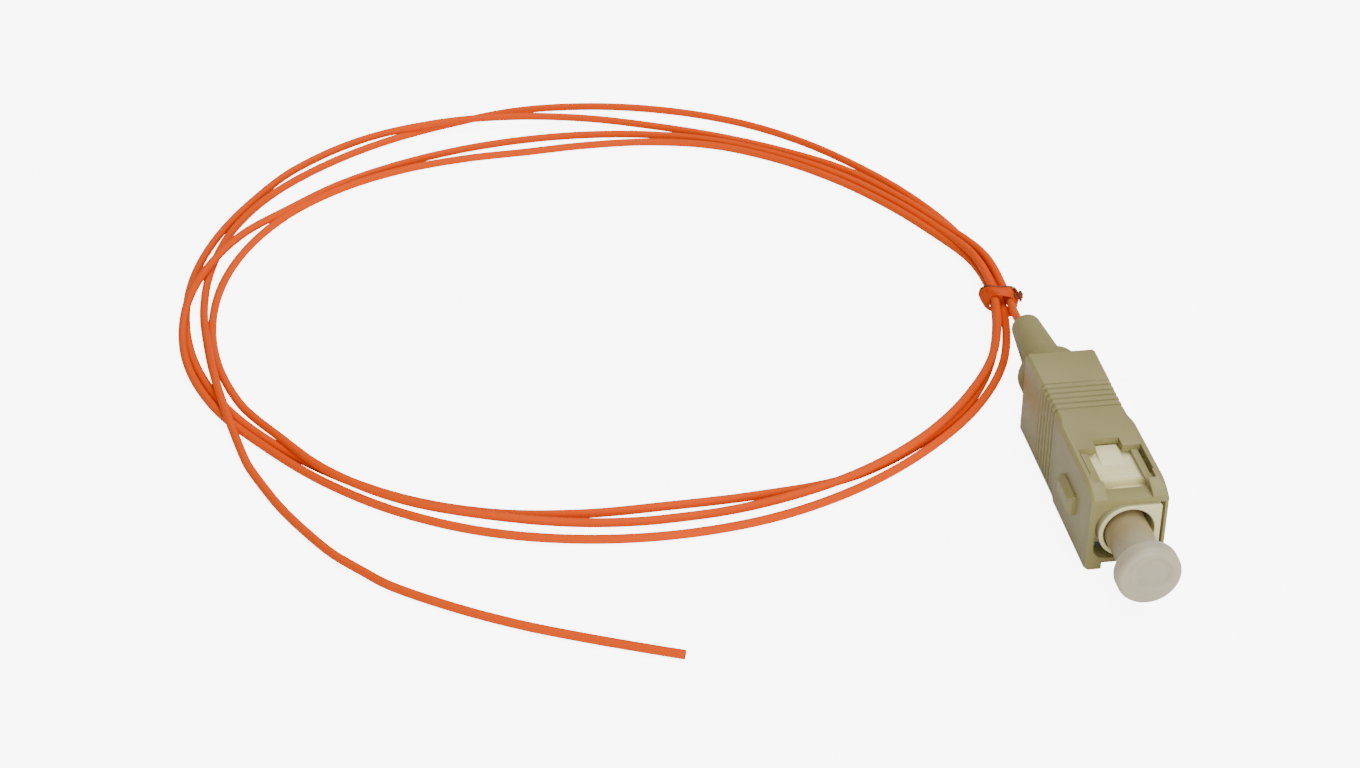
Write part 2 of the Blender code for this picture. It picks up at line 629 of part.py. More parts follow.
def smooth_route(points, step):
    """Points evenly spaced along a Catmull-Rom curve through the given ones."""
    route = [Vector(p) for p in points]
    route = [2 * route[0] - route[1], *route, 2 * route[-1] - route[-2]]
    dense = []
    for p0, p1, p2, p3 in zip(route, route[1:], route[2:], route[3:]):
        for t in np.linspace(0, 1, 24, endpoint=False):
            dense.append(
                0.5 * (2 * p1 + (p2 - p0) * t + (2 * p0 - 5 * p1 + 4 * p2 - p3) * t**2
                       + (3 * p1 - p0 - 3 * p2 + p3) * t**3)
            )
    dense.append(route[-2])
    line = np.array(dense)
    along = np.concatenate([[0], np.cumsum(np.linalg.norm(np.diff(line, axis=0), axis=1))])
    wanted = np.linspace(0, along[-1], max(2, round(along[-1] / step) + 1))
    route = np.column_stack([np.interp(wanted, along, line[:, i]) for i in range(3)])
    route[:, 2] = np.maximum(route[:, 2], FIBRE_RADIUS)
    return route


def tube(name, points, finish):
    curve = bpy.data.curves.new(name, "CURVE")
    curve.dimensions = "3D"
    curve.bevel_depth = FIBRE_RADIUS
    curve.bevel_resolution = 2
    curve.use_fill_caps = True
    spline = curve.splines.new("POLY")
    spline.points.add(len(points) - 1)
    for i, point in enumerate(points):
        spline.points[i].co = (*point, 1.0)
    curve.materials.append(finish)
    bpy.context.scene.collection.objects.link(bpy.data.objects.new(name, curve))


def lead_points():
    inside = (0.0, depth_y(FIBRE_START + GAP), AXIS_Z)
    tip = (0.0, depth_y(BOOT_END), AXIS_Z)
    return [inside, tip, *[tuple(value * MM for value in point) for point in LEAD_ROUTE]]


def tail_points():
    knots, _ = fibre_turns()[-1]
    start = coil_point(TAIL_ANGLE, smooth_value(TAIL_ANGLE, knots, 1), smooth_value(TAIL_ANGLE, knots, 2))
    return [tuple(start), *[tuple(value * MM for value in point) for point in TAIL_ROUTE]]


def make_fibre():
    finish = material("fibre_orange", ORANGE, 0.4)
    tube("fibre_lead", smooth_route(lead_points(), TUBE_STEP / 2), finish)
    make_fibre_coil(finish)
    tube("fibre_tail", smooth_route(tail_points(), TUBE_STEP), finish)


def make_twist_tie():
    """A band round the bundle where the coil is tied, with its twisted ends standing out at the right."""
    inner, outer, low, high = coil_limits(TIE_ANGLE)
    radius = FIBRE_RADIUS / MM
    half_width = (outer - inner) / 2 + radius
    middle = (outer + inner) / 2
    gap, thick, half_length = GAP / MM, TIE_THICKNESS / MM, TIE_LENGTH / MM / 2
    round_off = TIE_CORNER / MM
    rotation = Matrix.Rotation(math.radians(TIE_ANGLE), 4, "Z")
    place = Matrix.Translation(coil_point(TIE_ANGLE, middle, 0.0)) @ rotation
    outlines = []
    for across, y in ((thick, -half_length), (thick, half_length), (0.0, half_length), (0.0, -half_length)):
        x, corner = half_width + gap + across, round_off + across / 2
        z0, z1 = low - radius - gap - across, high + radius + gap + across
        shape = (
            (x, z0 + corner), (x, z1 - corner), (x - corner, z1), (corner - x, z1),
            (-x, z1 - corner), (-x, z0 + corner), (corner - x, z0), (x - corner, z0),
        )
        outlines.append([place @ Vector((px * MM, y * MM, pz * MM)) for px, pz in shape])
    finish = material("tie_orange", TIE_ORANGE, 0.55)
    band = lofted("twist_tie", outlines, finish, closed=True)
    stub = bmesh.new()
    length = TIE_TWIST_LENGTH + TIE_THICKNESS / 2
    out = (half_width + gap + thick / 2) * MM + length / 2
    at = place @ Matrix.Translation((out, 0.0, (low + high) / 2 * MM)) @ Matrix.Rotation(math.pi / 2, 4, "Y")
    bmesh.ops.create_cone(
        stub, cap_ends=True, segments=12, radius1=TIE_TWIST_DIAMETER / 2, radius2=TIE_TWIST_DIAMETER / 2,
        depth=length, matrix=at,
    )
    boolean(band, object_of("twist_shape", stub), "UNION")


clear_scene()
make_outer_housing()
make_inner_body()
make_ferrule()
make_ferrule_flange()
make_rear_body()
make_boot()
make_dust_cap()
make_fibre()
make_twist_tie()
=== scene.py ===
# %% [markdown]
# A fibre optic pigtail: a metre of orange buffered fibre in a loose, tied coil, with a beige push-pull
# plug on one end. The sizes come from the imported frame. This script dresses each of its solids: it
# rounds edges, turns fine profiles and gives every surface a finish with grain and slight variation.
# Lengths are in millimetres until a mesh is made, and MM turns them into Blender's metres.

import json
import math

import bmesh
import bpy
import numpy as np
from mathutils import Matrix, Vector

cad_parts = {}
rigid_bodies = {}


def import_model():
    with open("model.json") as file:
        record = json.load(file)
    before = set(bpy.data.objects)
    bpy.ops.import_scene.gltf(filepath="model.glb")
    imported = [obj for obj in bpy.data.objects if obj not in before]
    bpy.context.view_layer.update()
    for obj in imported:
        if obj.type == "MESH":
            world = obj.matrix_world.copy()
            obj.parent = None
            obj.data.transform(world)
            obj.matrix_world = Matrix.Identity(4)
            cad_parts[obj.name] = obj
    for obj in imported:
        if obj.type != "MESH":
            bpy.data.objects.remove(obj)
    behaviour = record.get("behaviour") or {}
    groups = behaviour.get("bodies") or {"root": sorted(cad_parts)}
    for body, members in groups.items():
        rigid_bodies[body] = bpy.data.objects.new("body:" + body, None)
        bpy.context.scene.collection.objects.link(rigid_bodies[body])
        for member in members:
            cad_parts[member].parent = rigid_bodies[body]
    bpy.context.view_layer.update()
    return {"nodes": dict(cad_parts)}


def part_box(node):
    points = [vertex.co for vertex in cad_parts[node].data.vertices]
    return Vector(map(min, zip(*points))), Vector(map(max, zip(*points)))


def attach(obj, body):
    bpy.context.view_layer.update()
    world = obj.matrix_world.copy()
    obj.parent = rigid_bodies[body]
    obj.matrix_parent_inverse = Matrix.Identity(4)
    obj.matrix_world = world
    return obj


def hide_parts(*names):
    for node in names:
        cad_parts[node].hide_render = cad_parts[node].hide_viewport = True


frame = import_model()
nodes = frame["nodes"]
MM = 0.001
print("nodes:", ", ".join(sorted(nodes)))

# %% [markdown]
# The plug lies on the floor with its axis level. Its places are read from the frame instead of being
# typed in: the housing's box gives the front face and the height of the axis, and other boxes give the
# boot, the cap and the ferrule. Depths are counted backwards from the housing's front face.

# %% Places along the plug
housing_low, housing_high = (np.array(corner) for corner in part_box("outer_housing"))
FRONT_Y = housing_low[1]
AXIS_Z = (housing_low[2] + housing_high[2]) / 2
FRONT, AXIS = FRONT_Y / MM, AXIS_Z / MM
print("front face at", round(FRONT, 2), "mm, axis height", round(AXIS, 2), "mm")

# %% [markdown]
# The camera stands in front, to the left and above. A focal length near 69 mm on a 36 mm sensor
# gives the same mild perspective as the photograph: the near cap looks larger than the far coil.

# %% Camera
camera_data = bpy.data.cameras.new("camera")
camera_data.sensor_width = 36.0
camera_data.lens = 68.8
camera_data.clip_start = 0.01
camera = bpy.data.objects.new("camera", camera_data)
camera.location = (-0.0699, -0.1966, 0.1471)
camera.rotation_euler = (math.radians(56.9), 0.0, math.radians(-8.6))
bpy.context.scene.collection.objects.link(camera)
bpy.context.scene.camera = camera
print("camera at", tuple(round(value, 3) for value in camera.location))

# %% [markdown]
# Most shapes below are grids: points worked out by a formula for every pair of parameters, with a
# face between each four neighbours. One helper turns such a grid into a mesh object, and closes it
# round in one or both directions. Ends that stay open can be capped with one flat face.


# %% Grid surfaces
def grid_faces(rows, columns, close_rows, close_columns):
    """Index quads between neighbouring grid points: (i, j), (i, j+1), (i+1, j+1), (i+1, j)."""
    i = np.arange(rows if close_rows else rows - 1)[:, None]
    j = np.arange(columns if close_columns else columns - 1)[None, :]
    i2, j2 = (i + 1) % rows, (j + 1) % columns
    quads = np.stack([i * columns + j, i * columns + j2, i2 * columns + j2, i2 * columns + j], axis=-1)
    return quads.reshape(-1, 4)


def object_from(name, points, faces):
    """A smooth-shaded mesh object from an array of points and a list of faces."""
    mesh = bpy.data.meshes.new(name)
    mesh.from_pydata(points.tolist(), [], faces)
    mesh.validate()
    mesh.shade_smooth()
    made = bpy.data.objects.new(name, mesh)
    bpy.context.scene.collection.objects.link(made)
    return made


def grid_object(name, grid, close_rows=False, close_columns=False, caps=False):
    """A mesh over a grid of points, capped at its first and last row where asked."""
    rows, columns = grid.shape[:2]
    faces = grid_faces(rows, columns, close_rows, close_columns).tolist()
    if caps:
        faces.append(list(range(columns))[::-1])
        faces.append(list(range((rows - 1) * columns, rows * columns)))
    return object_from(name, grid.reshape(-1, 3), faces)


print("a grid of 4 by 6 points, closed both ways, has", len(grid_faces(4, 6, True, True)), "faces")

# %% [markdown]
# The fibre is one piece from the boot to its cut end. Loose coils are never perfect circles, so each
# turn has its own radius and height at a few angles, and a smooth curve runs through them. Where two
# strands cross, one rides over the other in a long low hump. All of them meet in the tie.

# %% Route of the fibre
FIBRE_DIAMETER = 0.9 * MM
FIBRE_SIDES = 14
COIL_CENTRE = np.array([-44.0, 45.0])
TIE_ANGLE = -13.0
TAIL_ANGLE = 211.5
STEPS_PER_TURN = 30
PATH_STEP = 0.5  # between the points of the finished route
INSIDE_BOOT = 0.6  # from the end of the rear body's spigot to where the fibre begins

# The route, part 1: down from the boot to the tie, as (x, y, z).
LEAD_ROUTE = (
    (-0.12, 26.6, 4.27),
    (-0.18, 27.4, 4.05),
    (-0.06, 28.6, 3.7),
    (0.14, 30.1, 3.28),
    (0.42, 32.0, 2.85),
)
# Part 2: four turns, as (angle in degrees, radius, height) about the coil's centre.
TURNS = (
    (
        (-13, 46.1, 1.9), (0, 44.6, 1.85), (12, 43.0, 0.85), (25, 42.0, 0.45), (38, 41.3, 0.45),
        (50, 40.2, 0.45), (62, 40.0, 0.5), (74, 40.3, 0.65), (86, 41.0, 1.1), (98, 42.1, 1.35),
        (109, 43.4, 1.35), (120, 45.1, 0.8), (131, 45.3, 0.45), (145, 44.1, 0.45), (162, 43.4, 0.45),
        (180, 42.8, 0.45), (200, 42.2, 0.45), (220, 41.4, 0.45), (240, 41.4, 0.45), (256, 41.0, 0.45),
        (271, 40.3, 0.45), (284, 41.2, 0.45), (300, 44.0, 0.45), (312, 44.9, 0.45), (322, 45.4, 0.45),
        (333, 45.15, 0.45), (340, 45.0, 0.7),
    ),
    (
        (-13, 44.5, 1.3), (0, 43.3, 1.0), (13, 41.1, 0.45), (28, 39.3, 0.45), (45, 38.3, 0.45),
        (60, 37.5, 0.45), (76, 35.6, 0.45), (92, 34.0, 0.45), (108, 34.9, 0.45), (125, 36.9, 0.45),
        (142, 38.6, 0.45), (160, 39.5, 0.45), (180, 40.0, 0.45), (196, 40.4, 0.45), (205, 40.6, 0.45),
        (212, 40.7, 0.8), (219, 41.2, 1.3), (228, 42.2, 1.35), (240, 42.8, 1.4), (252, 42.8, 1.35),
        (262, 42.5, 0.8), (272, 42.4, 0.45), (284, 43.0, 0.5), (300, 44.8, 1.35), (312, 45.1, 1.35),
        (322, 45.2, 1.35), (333, 45.3, 1.4), (340, 45.05, 1.75),
    ),
    (
        (-13, 44.5, 2.2), (0, 43.4, 1.9), (12, 42.0, 0.8), (26, 40.7, 0.45), (45, 39.4, 0.45),
        (62, 38.7, 0.45), (80, 37.6, 0.45), (97, 37.1, 0.45), (114, 37.4, 0.45), (130, 38.4, 0.5),
        (144, 39.2, 0.8), (156, 40.7, 1.35), (168, 42.0, 1.4), (182, 43.1, 1.35), (191, 43.4, 0.85),
        (200, 43.2, 0.45), (216, 42.5, 0.45), (230, 43.0, 0.45), (248, 44.1, 0.45), (268, 44.9, 0.45),
        (290, 45.7, 0.45), (308, 45.95, 0.45), (326, 46.45, 0.45), (336, 46.35, 0.5), (341, 45.95, 0.75),
    ),
    (
        (-13, 45.4, 1.3), (0, 44.3, 0.95), (12, 43.8, 0.5), (25, 43.2, 0.45), (38, 43.2, 0.45),
        (51, 44.0, 0.45), (64, 44.6, 0.45), (78, 44.9, 0.45), (90, 45.1, 0.45), (102, 44.1, 0.45),
        (116, 43.6, 0.45), (132, 43.3, 0.45), (146, 43.1, 0.45), (158, 42.2, 0.45), (170, 41.3, 0.6),
        (182, 40.8, 0.95), (192, 41.0, 1.3), (200, 41.9, 1.4), (208, 43.2, 1.3), (216, 45.2, 0.75),
        (221, 46.9, 0.45),
    ),
)
# Part 3: the free end, as (x, y, z).
TAIL_ROUTE = (
    (-80.9, 18.6, 0.7),
    (-79.7, 15.2, 0.45),
    (-77.6, 10.1, 0.45),
    (-75.5, 6.1, 0.45),
    (-73.0, 2.0, 0.45),
    (-70.5, -1.0, 0.45),
    (-67.7, -4.0, 0.45),
    (-62.1, -8.1, 0.45),
    (-56.6, -11.4, 0.45),
    (-51.1, -14.1, 0.45),
    (-45.7, -16.5, 0.45),
    (-42.4, -17.9, 0.45),
)


def through(knots, at):
    """Smooth curve through knots whose first column is the parameter.

    Between two knots it is a cubic that starts and ends with the slopes from each knot's neighbours.
    """
    x, p = knots[:, 0], knots[:, 1:]
    slope = np.vstack([p[1] - p[0], p[2:] - p[:-2], p[-1] - p[-2]])
    slope = slope / np.concatenate([[x[1] - x[0]], x[2:] - x[:-2], [x[-1] - x[-2]]])[:, None]
    i = np.clip(np.searchsorted(x, at, side="right") - 1, 0, len(x) - 2)
    span = (x[i + 1] - x[i])[:, None]
    t = (at - x[i])[:, None] / span
    start = (2 * t**3 - 3 * t**2 + 1) * p[i] + (t**3 - 2 * t**2 + t) * span * slope[i]
    end = (3 * t**2 - 2 * t**3) * p[i + 1] + (t**3 - t**2) * span * slope[i + 1]
    return start + end


def turn_points(index):
    """Points of one turn, from its own knots, one of the turn before it and two of the turn after it.

    The first turn has none before it, and borrows that knot from the third turn, which it lies beside.
    """
    knots = list(TURNS[index])
    angle, *place = TURNS[index - 1 if index else 2][-1]
    first = (angle - 360, *place)
    end = TAIL_ANGLE
    if index < len(TURNS) - 1:
        end = 360 + TIE_ANGLE
        knots += [(knot[0] + 360, *knot[1:]) for knot in TURNS[index + 1][:2]]
    angles = np.linspace(TIE_ANGLE, end, round(STEPS_PER_TURN * (end - TIE_ANGLE) / 360) + 1)[:-1]
    radius, height = through(np.array([first, *knots]), angles).T
    turn = np.radians(angles)
    x, y = COIL_CENTRE[0] + radius * np.cos(turn), COIL_CENTRE[1] + radius * np.sin(turn)
    return np.column_stack([x, y, height])


def resampled(points, step):
    """The smooth curve through points, read again at even steps of its length."""
    along = np.concatenate([[0], np.cumsum(np.linalg.norm(np.diff(points, axis=0), axis=1))])
    knots = np.column_stack([along, points])
    fine = through(knots, np.linspace(0, along[-1], int(along[-1] / step * 4)))
    length = np.concatenate([[0], np.cumsum(np.linalg.norm(np.diff(fine, axis=0), axis=1))])
    even = np.linspace(0, length[-1], int(length[-1] / step) + 1)
    return np.column_stack([np.interp(even, length, fine[:, axis]) for axis in range(3)])


boot_low, boot_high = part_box("boot")
spigot_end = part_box("rear_body")[1][1]
lead_start = (0.0, spigot_end / MM + INSIDE_BOOT, AXIS)
boot_tip = (0.0, boot_high[1] / MM, AXIS)
turns = [turn_points(i) for i in range(len(TURNS))]
route = np.vstack([lead_start, boot_tip, LEAD_ROUTE, *turns, TAIL_ROUTE])
fibre_path = resampled(route, PATH_STEP) * MM
fibre_path[:, 2] = np.maximum(fibre_path[:, 2], FIBRE_DIAMETER / 2)

# %% [markdown]
# A tube is a circle carried along the route. At each point the circle stands square to the
# direction of travel, with one axis kept level, so it never spins about itself.


# %% The fibre as a tube
def tube_grid(path, radius, sides):
    """Grid of a tube: point + radius * (cos a * level + sin a * upright), for a from 0 to a full turn."""
    along = np.gradient(path, axis=0)
    along /= np.linalg.norm(along, axis=1)[:, None]
    level = np.cross(along, (0.0, 0.0, 1.0))
    level /= np.linalg.norm(level, axis=1)[:, None]
    upright = np.cross(level, along)
    angle = np.linspace(0, 2 * np.pi, sides, endpoint=False)
    ring = np.cos(angle)[None, :, None] * level[:, None] + np.sin(angle)[None, :, None] * upright[:, None]
    return path[:, None] + radius * ring


fibre_grid = tube_grid(fibre_path, FIBRE_DIAMETER / 2, FIBRE_SIDES)
fibre = grid_object("fibre", fibre_grid, close_columns=True, caps=True)
print("fibre mesh:", len(fibre.data.polygons), "faces")

# %% [markdown]
# The tie is a strip of orange plastic over a thin wire. It goes once round the four strands, a little
# crumpled and folded over, and its two ends are twisted together away from the coil. Their dark brown
# is partly the soiled tie and partly painted shade. A dark tube along the band's upper edge is painted
# shadow, where the strands above shade the band. Simulated cloth would be slow and hard to steer here,
# so the strip is an oval section carried along a line, like a wide flat tube that is thickest over its
# wire. Sums of a few sines do the crumpling.


# %% The twist tie
STRIP_WIDTH, STRIP_EDGE, STRIP_WIRE = 1.7, 0.18, 0.5
END_WIDTH, END_EDGE, END_WIRE = 0.62, 0.16, 0.3
BUNDLE_RADIUS, BUNDLE_HEIGHT = 45.3, 1.75
BAND_HALF, BAND_BULGE = (1.5, 1.16), 0.42
TWIST_LENGTH, TWIST_RADIUS, TWIST_TURN = 0.75, 0.25, 3 * np.pi
TIP_UP, TIP_OUT = (1.4, 34.9, 3.15), (2.0, 34.1, 1.95)
# The edge tube is painted shadow along the band's upper edge; the wire is the tie's real grey tip.
WIRE_RADIUS, EDGE_SHADOW_RADIUS, WIRE_SIDES = 0.11, 0.14, 12


def tie_frame():
    """The middle of the bundle at the tie, and unit vectors away from the coil's centre and along it."""
    turn = math.radians(TIE_ANGLE)
    outwards = np.array([math.cos(turn), math.sin(turn), 0.0])
    along = np.array([-math.sin(turn), math.cos(turn), 0.0])
    middle = np.array([*COIL_CENTRE, BUNDLE_HEIGHT]) + BUNDLE_RADIUS * outwards
    return middle, outwards, along


def strip_grid(centre_line, normals, sideways, width, edge, wire):
    """Grid of a flat strip with an oval section.

    Across the strip the thickness rises from edge at the rims to wire at the middle, on a bell curve.
    Each point is the line's point, plus a share of the width sideways, plus half the thickness times
    sin a along the normal.
    """
    a = np.linspace(0, 2 * np.pi, 24, endpoint=False)
    share = np.sign(np.cos(a)) * np.abs(np.cos(a)) ** 0.7 / 2
    thick = (edge + (wire - edge) * np.exp(-((share / 0.24) ** 2))) / 2
    out = np.sin(a) * thick
    return (
        centre_line[:, None]
        + (share * width)[None, :, None] * sideways[:, None]
        + out[None, :, None] * normals[:, None]
    )


# The band's line is a rounded square round the bundle. It bulges where it is folded, on the coil's side.
tie_middle, tie_out, tie_along = tie_frame()
up = np.array([0.0, 0.0, 1.0])
turn = np.linspace(0, 2 * np.pi, 96, endpoint=False)
cos, sin = np.cos(turn), np.sin(turn)
squarish = (np.abs(cos) ** 3.2 + np.abs(sin) ** 3.2) ** (-1 / 3.2)
crumple = 1 + 0.035 * np.sin(3 * turn + 0.8) + 0.02 * np.sin(7 * turn)
reach = BAND_HALF[0] * squarish * cos * crumple - BAND_BULGE * np.exp(-(((turn - np.pi) / 0.75) ** 2))
fold = np.exp(-(((turn - 2.9) / 0.75) ** 2))
lean = 0.16 * np.sin(turn) + 0.1 * np.sin(2 * turn + 0.5) + 0.6 * fold
band_line = (
    tie_middle
    + reach[:, None] * tie_out
    + (BAND_HALF[1] * squarish * sin)[:, None] * up
    + lean[:, None] * tie_along
)
band_normal = cos[:, None] * tie_out + sin[:, None] * up
lean_out = (0.25 * np.sin(2 * turn) + 1.1 * fold)[:, None]
band_side = tie_along + lean_out * band_normal
band_side /= np.linalg.norm(band_side, axis=1)[:, None]
band = grid_object(
    "tie_band",
    strip_grid(band_line, band_normal, band_side, STRIP_WIDTH, STRIP_EDGE, STRIP_WIRE) * MM,
    close_rows=True,
    close_columns=True,
)


def twisted_end(name, phase, tip, curl):
    """One end of the tie: a ribbon that winds round the other for one turn and a half, then runs free.

    Its middle line is a helix about the outward axis, then a curve that leaves along the helix and
    ends at the tip. The ribbon's width turns with the helix and goes on turning by curl.
    """
    t = np.linspace(0, 1, 44)[:, None]
    start = tie_middle + (BAND_HALF[0] - 0.3) * tie_out + 0.75 * up
    angle = phase + t * TWIST_TURN
    swell = TWIST_RADIUS * np.clip(t / 0.2, 0, 1)
    spoke = np.cos(angle) * up + np.sin(angle) * tie_along
    helix = start + TWIST_LENGTH * t * (tie_out + 0.1 * up) + swell * spoke
    s = np.linspace(0, 1, 20)[1:, None]
    leave = helix[-1] - helix[-2]
    leave = leave / np.linalg.norm(leave) * np.linalg.norm(tip - helix[-1])
    free = helix[-1] + leave * (s - s**2) + (tip - helix[-1]) * s**2
    line = np.vstack([helix, free])
    late = np.concatenate([np.zeros(len(helix)), curl * s[:, 0]])[:, None]
    turned_by = np.vstack([angle, np.full((len(s), 1), angle[-1, 0])]) + late
    across = -np.sin(turned_by) * up + np.cos(turned_by) * tie_along
    along = np.gradient(line, axis=0)
    along /= np.linalg.norm(along, axis=1)[:, None]
    across -= (across * along).sum(1)[:, None] * along
    across /= np.linalg.norm(across, axis=1)[:, None]
    ribbon = strip_grid(line, np.cross(along, across), across, END_WIDTH, END_EDGE, END_WIRE) * MM
    return grid_object(name, ribbon, close_columns=True, caps=True), line[-1], along[-1]


end_up, tip_up, way_up = twisted_end("tie_end_up", 0.0, np.array(TIP_UP), 0.8)
end_out, _, _ = twisted_end("tie_end_out", math.pi, np.array(TIP_OUT), -0.6)
wire_line = tip_up + way_up * np.linspace(-0.3, 0.3, 8)[:, None]
wire_grid = tube_grid(wire_line, WIRE_RADIUS, WIRE_SIDES) * MM
wire_tip = grid_object("tie_wire", wire_grid, close_columns=True, caps=True)
# Painted shadow: a dark tube along the band's upper edge, over the part of the band that the strands
# above shade.
over = (turn > 0.35) & (turn < 2.75)
shadow_line = (band_line + 0.46 * STRIP_WIDTH * band_side)[over]
shadow_grid = tube_grid(shadow_line, EDGE_SHADOW_RADIUS, WIRE_SIDES) * MM
tie_edge_shadow = grid_object("tie_edge_shadow", shadow_grid, close_columns=True, caps=True)
print("tie:", len(band.data.polygons), "faces in its band,", len(end_up.data.polygons), "in each end")

# %% [markdown]
# Every plastic here is moulded, and moulded plastic is never one flat colour: the pigment varies a
# little over millimetres, the skin has a fine grain, and the gloss changes with it. One helper makes
# such a finish from two noise patterns, one broad for the colour and one fine for the skin. Noise on
# the object's own coordinates needs no unwrapping and stays in place when the piece moves. The colours
# are deeper than they look in the picture, because the light above the plug is strong.


# %% Moulded plastics
GRAIN_DEPTH, GRAIN_SCALE = 0.01 * MM, 9000.0


def moulded(name, colour, roughness, variation=0.05, sheen=0.5, broad=160.0):
    """Plastic whose colour varies by a broad noise and whose skin is roughened by a fine one.

    The variation is the share by which the colour gets lighter and darker. The sheen is the strength
    of its reflections, and broad is how many patches of colour there are to a metre.
    """
    made = bpy.data.materials.new(name)
    made.use_nodes = True
    tree = made.node_tree
    shader = tree.nodes["Principled BSDF"]
    shader.inputs["Specular IOR Level"].default_value = sheen
    place = tree.nodes.new("ShaderNodeTexCoord")
    patches = tree.nodes.new("ShaderNodeTexNoise")
    patches.inputs["Scale"].default_value = broad
    patches.inputs["Detail"].default_value = 4.0
    tree.links.new(place.outputs["Object"], patches.inputs["Vector"])
    ramp = tree.nodes.new("ShaderNodeValToRGB")
    ramp.color_ramp.elements[0].position = 0.3
    ramp.color_ramp.elements[1].position = 0.7
    ramp.color_ramp.elements[0].color = (*[channel * (1 - variation) for channel in colour], 1)
    ramp.color_ramp.elements[1].color = (*[min(1.0, channel * (1 + variation)) for channel in colour], 1)
    tree.links.new(patches.outputs["Fac"], ramp.inputs["Fac"])
    tree.links.new(ramp.outputs["Color"], shader.inputs["Base Color"])
    skin = tree.nodes.new("ShaderNodeTexNoise")
    skin.inputs["Scale"].default_value = GRAIN_SCALE
    skin.inputs["Detail"].default_value = 3.0
    tree.links.new(place.outputs["Object"], skin.inputs["Vector"])
    gloss = tree.nodes.new("ShaderNodeMapRange")
    gloss.inputs["To Min"].default_value = roughness - 0.07
    gloss.inputs["To Max"].default_value = roughness + 0.07
    tree.links.new(skin.outputs["Fac"], gloss.inputs["Value"])
    tree.links.new(gloss.outputs["Result"], shader.inputs["Roughness"])
    bump = tree.nodes.new("ShaderNodeBump")
    bump.inputs["Strength"].default_value = 0.5
    bump.inputs["Distance"].default_value = GRAIN_DEPTH
    tree.links.new(skin.outputs["Fac"], bump.inputs["Height"])
    tree.links.new(bump.outputs["Normal"], shader.inputs["Normal"])
    return made


housing_beige = moulded("housing_beige", (0.285, 0.252, 0.098), 0.44, sheen=0.35)
boot_beige = moulded("boot_beige", (0.262, 0.225, 0.085), 0.55, sheen=0.25)
body_cream = moulded("body_cream", (0.86, 0.80, 0.42), 0.38)
fibre_orange = moulded("fibre_orange", (0.76, 0.078, 0.0), 0.5, sheen=0.06, broad=60.0)
# The band's strong patchy variation is painted shade, standing in for its creases in random places.
tie_orange = moulded("tie_orange", (0.62, 0.058, 0.0), 0.5, variation=0.2, sheen=0.1, broad=900.0)
# Dark brown: on the twisted ends partly soiled colour and partly painted shade, on the band's edge tube
# painted shadow.
tie_soil_and_shade = moulded("tie_soil_and_shade", (0.20, 0.030, 0.002), 0.5, variation=0.6, sheen=0.3, broad=1500.0)
print("plastics:", ", ".join(made.name for made in (housing_beige, boot_beige, body_cream, fibre_orange)))

# %% [markdown]
# Frosted plastic lets some light into itself, so soft shadows inside it fade. Subsurface scattering does
# that without the noise of real glass. Where the stem goes into the plug it lies in the housing's shade,
# so its colour is painted darker and browner along the axis there: painted shade.


# %% Frosted plastic
# Painted shade: the stem darkens to this colour where it goes into the housing, between these two places
# along y.
PALE_UNTIL, FULL_SHADE_FROM = -16.4 * MM, -12.5 * MM
STEM_SHADE_COLOUR = (0.34, 0.265, 0.135)


def frosted(name, colour, roughness):
    """Moulded plastic that scatters light inside, and darkens to a painted shade colour between two
    places along y.
    """
    made = moulded(name, colour, roughness, variation=0.03)
    tree = made.node_tree
    shader = tree.nodes["Principled BSDF"]
    depth = tree.nodes.new("ShaderNodeSeparateXYZ")
    tree.links.new(tree.nodes["Texture Coordinate"].outputs["Object"], depth.inputs["Vector"])
    into_shade = tree.nodes.new("ShaderNodeMapRange")
    into_shade.interpolation_type = "SMOOTHSTEP"
    into_shade.inputs["From Min"].default_value = PALE_UNTIL
    into_shade.inputs["From Max"].default_value = FULL_SHADE_FROM
    tree.links.new(depth.outputs["Y"], into_shade.inputs["Value"])
    # Painted shade: the stem's colour is mixed towards the shade colour with its depth into the plug.
    painted_stem_shade = tree.nodes.new("ShaderNodeMix")
    painted_stem_shade.data_type = "RGBA"
    tree.links.new(into_shade.outputs["Result"], painted_stem_shade.inputs["Factor"])
    tree.links.new(tree.nodes["Color Ramp"].outputs["Color"], painted_stem_shade.inputs["A"])
    painted_stem_shade.inputs["B"].default_value = (*STEM_SHADE_COLOUR, 1)
    tree.links.new(painted_stem_shade.outputs["Result"], shader.inputs["Base Color"])
    shader.inputs["Subsurface Weight"].default_value = 0.6
    shader.inputs["Subsurface Scale"].default_value = 2 * MM
    shader.inputs["Subsurface Radius"].default_value = (1.0, 0.95, 0.85)
    return made


cap_frosted = frosted("cap_frosted", (0.465, 0.415, 0.295), 0.42)
print("frosted:", len(cap_frosted.node_tree.nodes), "shader nodes")

# %% [markdown]
# The ferrule is polished ceramic, and the pieces behind it are metal turned on a lathe. Both have only
# faint marks running round them. Noise that is stretched round the axis gives those marks, and it
# changes the gloss alone, since such surfaces have one even colour.


